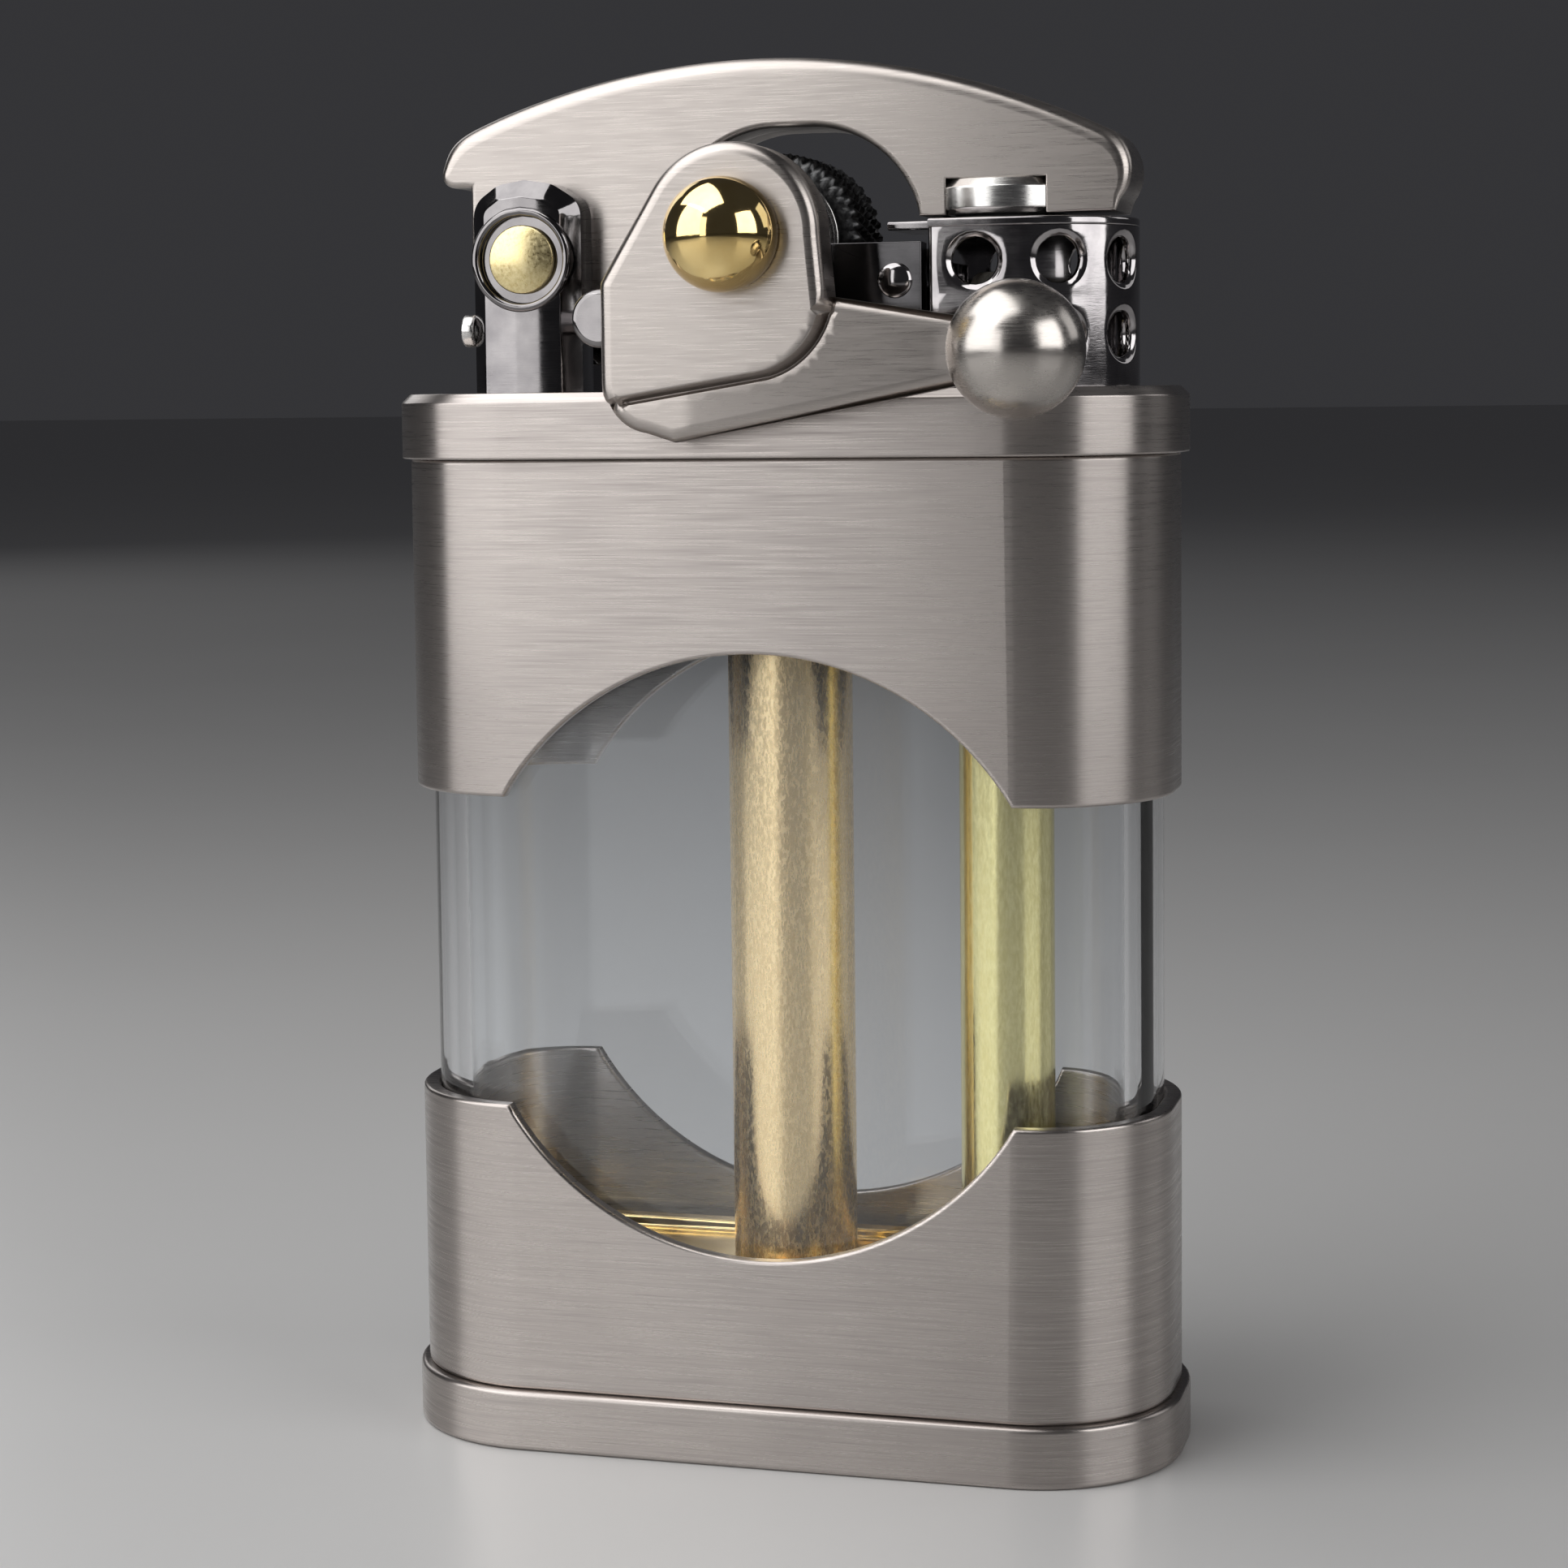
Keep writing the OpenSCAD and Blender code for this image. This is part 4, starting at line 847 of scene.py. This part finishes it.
def hinge_post():
    """Two bevelled cheeks on one base: the front one carries a raised ring round the pin's head."""
    low, high = box("hinge_post")
    middle = mid_of("hinge_pin")[[X, Z]]
    half, shoulder, top, sink = half_of("hinge_post"), 57.6, high[Z], DECK_TOP - 0.4
    slot_half, slot_floor, bore_r, well = 2.26, 50.2, 1.1, 0.5
    ring_in, ring_out, ring_rise = 2.0, 2.4, 0.12
    ring_mid, ring_edge = (ring_in + ring_out) / 2, (ring_out - ring_in) / 2
    bevel, bevel_w, soft, swell = 0.65, 0.85, 0.15, 0.3
    crest, crest_r, slot_edge, slot_in, slot_land = 0.2, 1.3, 0.12, 0.1, 0.14
    base_gap, base_lap, base_corner, base_low_r, base_top_r = 0.02, 0.2, 0.1, 0.05, 0.08
    foot_points, side_points, crest_steps, face_rings, ring_rings = 41, 60, 16, 30, 13
    side = [(half, sink), (half, shoulder), (half / 2, top - crest), (0, top)]
    side = np.array(rounded(side, crest_r, crest_steps))
    up = np.vstack([spread_along(side[:2], side_points), side[1:]])
    foot = [(x, sink) for x in np.linspace(-half, half, foot_points)]
    loop = np.vstack([foot, up, up[-2::-1] * (-1, 1)]) + (middle[0], 0)
    ray = loop - middle
    ray /= np.linalg.norm(ray, axis=1)[:, None]
    rim = loop[foot_points:]

    def crown(points):
        """How far the face falls back towards its edge: a bevel that starts softly."""
        d = np.clip(1 - np.abs(polyline_side(points, rim)) / bevel_w, 0, 1)
        fall = bevel * (np.sqrt(d * d + soft ** 2) - soft) / (math.sqrt(1 + soft ** 2) - soft)
        return fall + swell * ((points[:, 0] - middle[0]) / half) ** 2

    def put(flat, y):
        return np.column_stack([flat[:, 0], np.broadcast_to(y, len(flat)), flat[:, 1]])

    def circle(r):
        return middle + r * ray

    def cheek(face, slot, way, has_ring):
        """One cheek from its outer face to the slot, with the pin's bore."""
        rings = []
        start = circle(bore_r)
        if has_ring:
            floor_y = face + way * well
            steps = [(bore_r, floor_y), (ring_in - LIP, floor_y), (ring_in, floor_y - way * LIP)]
            for a in np.linspace(math.pi, 0, ring_rings):
                steps.append((ring_mid + ring_edge * math.cos(a), face + way * ring_edge * (1 - math.sin(a))))
            rings = [put(circle(r), y) for r, y in steps]
            face += way * ring_rise
            start = circle(ring_out)
        for t in np.linspace(0, 1, face_rings):
            flat = start + (loop - start) * t
            rings.append(put(flat, face + way * crown(flat)))
        rings += [put(loop, face + way * (crown(loop) + LIP)), put(loop, slot - way * slot_edge)]
        rings += [put(loop - slot_in * ray, slot), put(loop - slot_land * ray, slot)]
        rings.append(put(circle(bore_r), slot))
        shape.loft(rings, along=True)

    shape = Shape()
    cheek(low[Y], -slot_half, 1, True)
    cheek(high[Y], slot_half, -1, False)
    points, normals = case_plan(2 * half - base_gap, 2 * slot_half + base_lap, base_corner)
    rows = rounded_ends(sink, slot_floor, base_low_r, base_top_r)
    base = [points - depth * normals + (middle[0], 0) for depth, _ in rows]
    shape.loft([[(*p, z) for p in plan] for plan, (_, z) in zip(base, rows)])
    for end in (0, -1):
        shape.fill([base[end]], lift_along(Z, rows[end][1]))
    return shape.piece("hinge_post_block")


dress(hinge_post(), "hinge_post", SMOKED)
dress(hinge_pin(), "hinge_pin", PALE_GOLD)
dress_softened(("post_screw", 0.12, "steel", STEEL), ("detent_leaf", 0.06, "steel", STEEL))


# Chimney

def chimney():
    """Perforated wind guard: a wall bent round a D-shaped plan, its air holes countersunk from outside."""
    low, high = box("chimney")
    wall, hole_r, sink_r, sink = 0.45, 1.03, 1.30, 0.16
    half_y, hole_z, round_holes = high[Y], (51.2, 54.5), 4
    round_x, flat_hole_x, corner = high[X] - half_y, 9.69, 0.25
    window_half, window_z = 2.0, (51.2, 54.5)
    side, bend_points = 8, 7
    z_low, split_z, z_high = low[Z], sum(hole_z) / 2, high[Z]
    left, inner = low[X] + corner, half_y - corner
    flat = round_x - left
    arc, bend, face = math.pi * half_y, math.pi / 2 * corner, 2 * inner
    parts = [(flat, 0), (arc, half_y), (flat, 0), (bend, corner), (face, 0), (bend, corner)]
    ends = np.cumsum([0] + [length for length, _ in parts])
    shape = Shape()

    def put(s, z, depth):
        """A point at a distance along the plan, from the front flat's left end, and a depth in the wall."""
        spot, n = on_path((left, -half_y), parts, s % ends[-1])
        return (*(spot - depth * n), z)

    def frame_points(s0, s1, z0, z1, ns, nz):
        """Points round a rectangle of the wall, ns and nz to a side."""
        bottom = [(s0 + (s1 - s0) * k / ns, z0) for k in range(ns)]
        right = [(s1, z0 + (z1 - z0) * k / nz) for k in range(nz)]
        top = [(s1 - (s1 - s0) * k / ns, z1) for k in range(ns)]
        return bottom + right + top + [(s0, z1 - (z1 - z0) * k / nz) for k in range(nz)]

    def cell(border, hole_rings):
        """Wall from a cell's border to its hole, on both faces, and down the hole's side."""
        def across(hole, depth):
            pairs = list(zip(border, hole))
            return [[put(b[0] + (h[0] - b[0]) * t, b[1] + (h[1] - b[1]) * t, depth) for b, h in pairs]
                    for t in (0.0, 0.35, 0.7)]

        through = [[put(s, z, d) for s, z in ring] for ring, d in hole_rings]
        shape.loft(across(hole_rings[0][0], 0) + through + across(hole_rings[-1][0], wall)[::-1])

    def round_hole(s0, s1, z0, z1, s, z):
        border = frame_points(s0, s1, z0, z1, side, side)
        angles = [math.atan2(q[1] - z, q[0] - s) for q in border]
        steps = [(sink_r + LIP, 0), (sink_r, 0.004), (sink_r - 0.04, 0.03), (hole_r + 0.05, sink - 0.03),
                 (hole_r, sink + 0.04), (hole_r, wall - LIP), (hole_r + LIP, wall)]
        cell(border, [([(s + r * math.cos(a), z + r * math.sin(a)) for a in angles], d) for r, d in steps])

    def window(grow):
        middle = (ends[4] + ends[5]) / 2
        return frame_points(middle - window_half - grow, middle + window_half + grow, window_z[0] - grow,
                            window_z[1] + grow, side, 2 * side)

    step = arc / round_holes
    columns = [(0, ends[1], flat_hole_x - left)]
    columns += [[ends[1] + (k + share) * step for share in (0, 1, 0.5)] for k in range(round_holes)]
    columns.append((ends[2], ends[3], ends[2] + round_x - flat_hole_x))
    for s0, s1, s in columns:
        round_hole(s0, s1, z_low, split_z, s, hole_z[0])
        round_hole(s0, s1, split_z, z_high, s, hole_z[1])
    rows = [z_low + (split_z - z_low) * k / side for k in range(side)]
    rows += [split_z + (z_high - split_z) * k / side for k in range(side + 1)]
    bends = [np.linspace(ends[k], ends[k + 1], bend_points) for k in (3, 5)]
    for stops in bends:
        for depth in (0, wall):
            shape.loft([[put(s, z, depth) for z in rows] for s in stops], around=False)
    border = frame_points(ends[4], ends[5], z_low, z_high, side, 1)
    upward = [(ends[5], z) for z in rows[:-1]]
    downward = [(ends[4], z) for z in rows[:0:-1]]
    border = border[:side] + upward + border[side + 1:2 * side + 1] + downward
    steps = ((0.08, 0), (0.05, 0.004), (0, 0.06), (0, wall - LIP), (LIP, wall))
    cell(border, [(window(grow), depth) for grow, depth in steps])
    stops = {round(s0 + (s1 - s0) * k / side, 9) for s0, s1, _ in columns for k in range(side + 1)}
    stops |= {round(ends[4] + face * k / side, 9) for k in range(side + 1)}
    stops |= {round(s, 9) for bend_stops in bends for s in bend_stops}
    stops = [s for s in sorted(stops) if s < ends[-1] - 1e-6]
    for z in (z_low, z_high):
        shape.loft([[put(s, z, depth) for s in stops] for depth in (0, wall)])
    return shape.piece("chimney_wall")


dress(chimney(), "chimney", CHROME)

LID_LOW, LID_TOP = span("chimney_lid")
LID_LOOPS = face_loops("chimney_lid", Z, LID_TOP, 1)
LID_STEP, LID_LOW_R, LID_TOP_R, LID_EDGE_STEPS = 0.3, 0.08, 0.12, 4
LID_PLAN = refined(LID_LOOPS[0], LID_STEP)
LID_ROWS = rounded_ends(LID_LOW, LID_TOP, LID_LOW_R, LID_TOP_R, LID_EDGE_STEPS)
LID_BORES = [turn_left(loop) for loop in LID_LOOPS[1:]]
dress(layered("chimney_lid_plate", lambda depth: inset(LID_PLAN, depth), LID_ROWS, bores=LID_BORES),
      "chimney_lid", CHROME)


# Wheel and its yoke

def cross_pin():
    """Rivet through the yoke with a small dome at each end."""
    front = span("cross_pin", Y)[0]
    head_r, head, shank = half_of("cross_pin"), 0.3, 0.5
    dome = [(head_r * math.sin(a), front + head * (1 - math.cos(a))) for a in np.linspace(0, math.pi / 2, 9)]
    half = dome + [(shank, front + head), (shank, front + head + LIP)]
    rows = half + [(r, -y) for r, y in reversed(half)]
    return Shape().loft(turned(rows, mid_of("cross_pin")[[Z, X]], Y, 48)).piece("cross_pin_rivet")


def flint_wheel():
    """Striking wheel: slanted saw teeth cut by rings, with bevelled rims and a bore."""
    r, half, bore = half_of("flint_wheel"), span("flint_wheel", Y)[1], 0.95
    teeth, per_tooth, ribs, per_rib = 40, 4, 6, 5
    tooth_depth, ring_depth, slant, peak = 0.34, 0.16, 2.0, 0.25
    rim, rim_fall, land = 0.35, 0.7, 0.05
    count = teeth * per_tooth
    a = np.linspace(0, 2 * math.pi, count, endpoint=False)

    def ring(radius, y):
        return np.column_stack([radius * np.cos(a), np.full(count, y), AXLE_Z + radius * np.sin(a)])

    hub = r - tooth_depth - ring_depth - rim
    rings = [ring(bore, -half), ring(hub - land, -half), ring(hub, -half)]
    for k, y in enumerate(np.linspace(-half, half, ribs * per_rib + 1)):
        phase = (a * teeth / (2 * math.pi) + slant * y / (2 * half)) % 1
        saw = np.abs(phase - peak) / (1 - peak)
        groove = ring_depth * max(0.0, math.cos(2 * math.pi * k / per_rib)) ** 2
        edge = max(0.0, rim - (half - abs(y))) * rim_fall
        rings.append(ring(r - tooth_depth * saw - groove - edge, y))
    rings += [ring(hub, half), ring(hub - land, half), ring(bore, half)]
    return Shape().loft(rings, along=True).piece("flint_wheel_cut")


# The wheel yoke's near-black colour is a painted dark reflection, not a finish of its own
dress_softened(("wheel_yoke", 0.14, "dark_chrome", CHROME_PAINTED_DARK_REFLECTION))
dress(cross_pin(), "cross_pin", CHROME)
dress(flint_wheel(), "flint_wheel", DARK_STEEL)
dress_softened(("ratchet_ring", 0.05, "dark_steel", DARK_STEEL), ("wheel_washer", 0.1, "steel", STEEL))


# Lever

KNOB_C = mid_of("lever_knob")
KNOB_R = half_of("lever_knob")


def open_run(loop, other, gap):
    """The stretch of a loop that lies further than gap from another loop, in order."""
    away = np.array([np.linalg.norm(other - p, axis=1).min() for p in loop]) > gap
    start = next(i for i in range(len(loop)) if away[i] and not away[i - 1])
    run = []
    while away[(start + len(run)) % len(loop)]:
        run.append(loop[(start + len(run)) % len(loop)])
    return np.array(run)


def thumb_lever():
    """Rocker lever: a plate with a raised pad, a cam pocket in its back and an end hollowed to the knob."""
    low, high = box("thumb_lever")
    pocket_room, knob_gap, overhang, shared = 0.1, 0.02, 6, 0.15
    back, pad_y, pocket_y = high[Y], span("striker_axle", Y)[0], span("drive_stud", Y)[0] - pocket_room
    step, edge, back_edge, groove, notch_depth, lean, lean_x = 0.5, 0.6, 0.12, 0.16, 0.26, 0.045, -2.0
    fine, clear, grid_step, strip, crack_sides = 0.2, 0.12, 0.35, 240, 8
    below, above, apart, close_rows = 2.1 * groove, 1.1 * groove, 0.5 * groove, 17

    front_loops = face_loops("thumb_lever", Y, (pad_y, pad_y + step), -1)
    outline = refined(front_loops[0], fine)
    bore = front_loops[1]
    behind = refined(face_loops("thumb_lever", Y, back, 1)[0], fine)
    neck_x = behind[:, 0].max()
    at_knob = np.linalg.norm(outline - KNOB_C[[X, Z]], axis=1) < KNOB_R

    # Lower edge of the pad, drawn out past both sides of the lever
    pad_edge = open_run(refined(face_loops("thumb_lever", Y, pad_y, -1)[0], fine), outline, shared)
    if pad_edge[0][0] > pad_edge[-1][0]:
        pad_edge = pad_edge[::-1]
    reach = [p + overhang * (p - q) / np.linalg.norm(p - q) for p, q in (pad_edge[:2], pad_edge[:-3:-1])]
    line = np.vstack([reach[0], pad_edge, reach[1]])
    line = np.vstack([line[0], spread_along(line, strip), line[-1]])

    # Outline of the back, which goes in round the cam pocket
    pocket = behind[inside(behind, outline, clear) & (behind[:, 0] < 0)]
    first, last = (int(np.linalg.norm(outline - p, axis=1).argmin()) for p in (pocket[0], pocket[-1]))
    count = (last - first) % len(outline) - 1
    rear = outline.copy()
    rear[[(first + 1 + k) % len(outline) for k in range(count)]] = spread_along(pocket, count)

    def drop(points):
        """How far the face lies below the pad: a soft step along the pad's swept lower edge."""
        away = polyline_side(points, line)
        t = np.clip(0.5 - away / (2 * groove), 0, 1)
        notch = np.clip(1 - np.abs(away + groove) / groove, 0, 1)
        fall = t * t * (3 - 2 * t) * (step + lean * np.maximum(0, points[:, 0] - lean_x))
        return fall + notch_depth * notch * notch * (3 - 2 * notch)

    def seat(p, end=False):
        """Keeps a point out of the knob, and draws the lever's end out to it."""
        x, y, z = p
        room = (KNOB_R + knob_gap) ** 2 - (y - KNOB_C[Y]) ** 2 - (z - KNOB_C[Z]) ** 2
        ball = KNOB_C[X] - math.sqrt(room) if room > 0 else neck_x
        return (min(neck_x, ball) if end else min(x, ball), y, z)

    def front(p):
        return seat((p[0], pad_y + drop(np.array([[*p]]))[0], p[1]))

    def rear_face(p):
        return seat((p[0], back, p[1]))

    def ring(loop, depth, y, lowered=False):
        flat = inset(loop, depth)
        level = y + (drop(flat) if lowered else np.zeros(len(flat)))
        return [seat((p[0], v, p[1]), end) for p, v, end in zip(flat, level, at_knob)]

    ends = rounded_ends(pad_y, back, edge, back_edge)
    half = len(ends) // 2
    rings = [ring(outline, depth, y, True) for depth, y in ends[:half]]
    rings += [ring(outline, 0, pocket_y - LIP), ring(outline, 0, pocket_y)]
    rings += [ring(rear, 0, pocket_y), ring(rear, 0, pocket_y + LIP)]
    rings += [ring(rear, depth, y) for depth, y in ends[half:]]
    shape = Shape().loft(rings)

    # Face points: an even grid, and close rows along the pad's lower edge
    edge_loop = inset(outline, ends[0][0])
    xs, zs = (np.arange(low[k], high[k], grid_step) for k in (X, Z))
    grid = [(x, z) for x in xs for z in zs]
    way = np.diff(line, axis=0)
    way /= np.linalg.norm(way, axis=1)[:, None]
    away = polyline_side(np.array(grid), line)
    grid = [p for p, d in zip(grid, away) if not -below - apart < d < above + apart]
    for off in np.linspace(-below, above, close_rows):
        grid += list((line[:-1] + line[1:]) / 2 + off * np.column_stack([-way[:, 1], way[:, 0]]))
    grid = np.array(grid)
    spots = grid[inside(grid, edge_loop, clear) & ~inside(grid, bore) & (from_sides(grid, bore) > clear)]
    shape.fill([edge_loop, bore], front, spots, rings[0])
    shape.fill([inset(rear, ends[-1][0]), bore], rear_face, (), rings[-1])
    shape.loft([[(p[0], y, p[1]) for p in bore] for y in (pad_y, back)])
    return shape.piece("thumb_lever_plate", crack_sides)


def lever_knob():
    """Ball knob turned about its tenon, with a short neck where the lever's arm enters."""
    lean, neck_r, neck_l, steps = 40.0, 1.25, 0.25, 39
    start = math.asin(neck_r / KNOB_R)
    rows = [(0, -KNOB_R)]
    for k in range(1, steps + 1):
        a = math.pi - (math.pi - start) * k / steps
        rows.append((KNOB_R * math.sin(a), KNOB_R * math.cos(a)))
    top = KNOB_R * math.cos(start)
    rows += [(neck_r - 0.06, top + 0.04), (neck_r - 0.1, top + neck_l), (0, top + neck_l)]
    turn = Matrix.Rotation(math.radians(-lean), 3, "Z") @ Matrix.Rotation(math.radians(-90), 3, "Y")
    spin = np.array(turn)
    return Shape().loft([ring @ spin.T + KNOB_C for ring in turned(rows, (0, 0))]).piece("lever_knob_ball")


def pivot_cap():
    """Polished ball head on the lever's axle, with a small undercut where it meets the pad."""
    front, back = span("pivot_cap", Y)
    r, lift, steps, neck_in, neck_edge, neck_h = half_of("pivot_cap"), 0.06, 32, 0.25, 0.22, 0.08
    centre = front + r
    start = math.acos((back - centre) / r)
    foot_r = r * math.sin(start)
    rows = [(0, back), (foot_r - neck_in, back), (foot_r - neck_edge, back - neck_h)]
    for k in range(steps + 1):
        a = start + lift + (math.pi - start - lift) * k / steps
        rows.append((r * math.sin(a), centre + r * math.cos(a)))
    return Shape().loft(turned(rows, (AXLE_Z, 0), Y)).piece("pivot_cap_ball")


dress(thumb_lever(), "thumb_lever", NICKEL_FINE)
dress(lever_knob(), "lever_knob", NICKEL_SATIN)
dress(pivot_cap(), "pivot_cap", GOLD)
dress_softened(("striker_axle", 0.1, "steel", STEEL),
               ("drive_sleeve", 0.1, "steel", STEEL),
               ("pawl_plate", 0.05, "steel", STEEL),
               ("axle_clip", 0.08, "steel", STEEL))


# Lift arm

def evened(values, rounds):
    """Values round a loop, averaged with their neighbours."""
    for _ in range(rounds):
        values = (np.roll(values, 1) + values + np.roll(values, -1)) / 3
    return values


def lift_arm():
    """Long rocker arm with a broadly rounded back, crisp under its arch, and a blunt round nose."""
    low, high = box("lift_arm")
    broad, crisp, under_r, notch_r, end_l, around = 0.8, 0.28, 0.12, 0.06, 2.2, 0.4
    tip, nose_l, nose_foot, nose_rounds, upward, under_h = 0.05, 2.8, 0.25, 34, 0.2, 0.2
    loops = face_loops("lift_arm", Y, low[Y], -1)
    loop = refined(loops[0], 0.25)
    nose_z = loop[loop[:, 0] < low[X] + tip][:, 1].min() + nose_foot
    loop = relaxed(loop, (loop[:, 0] < low[X] + nose_l) & (loop[:, 1] > nose_z), nose_rounds)
    x, z = loop.T
    radius = np.where(miters(loop)[:, 1] > upward, broad, crisp)
    at_end = x > high[X] - end_l
    under_z = z[at_end].min()
    radius[at_end] = np.interp(z[at_end], (under_z, under_z + end_l), (under_r, broad))
    radius = evened(radius, 12)
    cap_x, _, cap_z = box("snuffer_cap")[1]
    radius[(np.abs(x - WICK_X) < cap_x - WICK_X + around) & (z < cap_z + around)] = notch_r
    under = (z < under_z + under_h) & (x > WICK_X)
    radius[under] = np.minimum(radius[under], under_r)
    holes = [turn_left(hole) for hole in loops[1:]]
    return plate("lift_arm_plate", loop, low[Y], high[Y], evened(radius, 3), holes)


def snuffer_cap():
    """Round cap with a bevelled top and a drawn-in foot."""
    low, high = span("snuffer_cap")
    r, neck, bevel, edge = half_of("snuffer_cap"), 0.25, 0.4, 0.12
    rows = [(0, low), (r - neck, low), (r, low + neck), (r, high - bevel), (r - bevel, high), (0, high)]
    return Shape().loft(turned(rounded(rows, edge), (WICK_X, 0))).piece("snuffer_cap_turned")


dress(lift_arm(), "lift_arm", NICKEL_FINE)
dress_softened(("drive_stud", 0.3, "steel", SMOKED))
dress(snuffer_cap(), "snuffer_cap", STEEL)
dress_softened(("snuffer_seal", 0.15, "rubber", RUBBER), ("snuffer_rivet", 0.1, "steel", STEEL))


# Studio

def floor():
    """Plain pale floor, far wider than the view."""
    side = 6000.0
    rows = [[(-side, y, 0), (side, y, 0)] for y in (-side, side)]
    piece = Shape().loft(rows, around=False).piece("studio_floor")
    look = Look("floor_pale", Roughness=0.32)
    look.colour(look.blend(look.noise((0.02, 0.02, 0.02), 3), (0.54, 0.535, 0.53), (0.57, 0.565, 0.56)))
    piece.data.materials.append(look.material)


def lamp(name, place, target, width, height, glow):
    """A soft box of a size in mm, as bright in a mirror as its glow."""
    data = bpy.data.lights.new(name, "AREA")
    data.shape = "RECTANGLE"
    data.size, data.size_y = width * MM, height * MM
    data.energy = glow * math.pi * data.size * data.size_y
    holder = bpy.data.objects.new(name, data)
    holder.visible_camera = False
    bpy.context.scene.collection.objects.link(holder)
    holder.location = Vector(place) * MM
    holder.rotation_euler = (Vector(target) - Vector(place)).to_track_quat("-Z", "Y").to_euler()


def standing_lamp(name, first, last, distance, low, high, glow):
    """An upright soft box between two bearings, in degrees from the front to the right, and two heights."""
    middle, half = math.radians((first + last) / 2), math.radians((last - first) / 2)
    place = (distance * math.sin(middle), -distance * math.cos(middle), (low + high) / 2)
    lamp(name, place, (0, 0, (low + high) / 2), 2 * distance * math.tan(half), high - low, glow)


floor()
MIDDLE = (0, 0, 32)
lamp("overhead", (-55, -35, 190), MIDDLE, 200, 120, 2.8)
standing_lamp("left_box", -78, -24, 390, 40, 500, 2.6)
standing_lamp("front_fill", -24, -12, 480, 20, 330, 2.1)
standing_lamp("right_box", 50, 92, 390, 60, 360, 2.7)
lamp("back_right", (560, 380, 330), MIDDLE, 300, 360, 0.9)
lamp("back_left", (-520, 560, 380), MIDDLE, 300, 360, 1.1)

world = bpy.data.worlds.new("studio")
world.use_nodes = True
world.node_tree.nodes["Background"].inputs["Color"].default_value = (0.035, 0.035, 0.038, 1)
bpy.context.scene.world = world
bpy.context.scene.view_settings.view_transform = "Standard"


# Camera, from the photograph's viewing angle in its square frame

def camera():
    """Camera fitted to the photograph: focal length and middle in the frame's pixels, turn in degrees."""
    frame_px, focal_px, middle_x, middle_y = 1932.0, 4033.5, 908.4, 830.0
    yaw, pitch, roll = (math.radians(a) for a in (15.845, 4.987, -0.717))
    aim, distance = Vector((-2.712, 0, 35.622)), 154.02
    back = Vector((math.sin(yaw) * math.cos(pitch), -math.cos(yaw) * math.cos(pitch), math.sin(pitch)))
    right = (-back).cross(Vector((0, 0, 1))).normalized()
    up = right.cross(-back)
    right_rolled = math.cos(roll) * right + math.sin(roll) * up
    up_rolled = -math.sin(roll) * right + math.cos(roll) * up
    data = bpy.data.cameras.new("camera")
    data.sensor_width = 36
    data.lens = focal_px / frame_px * data.sensor_width
    data.shift_x = (frame_px / 2 - middle_x) / frame_px
    data.shift_y = (middle_y - frame_px / 2) / frame_px
    data.clip_start, data.clip_end = 0.01, 50
    holder = bpy.data.objects.new("camera", data)
    bpy.context.scene.collection.objects.link(holder)
    place = Matrix((right_rolled, up_rolled, back)).transposed().to_4x4()
    place.translation = (aim + back * distance) * MM
    holder.matrix_world = place
    bpy.context.scene.camera = holder


camera()
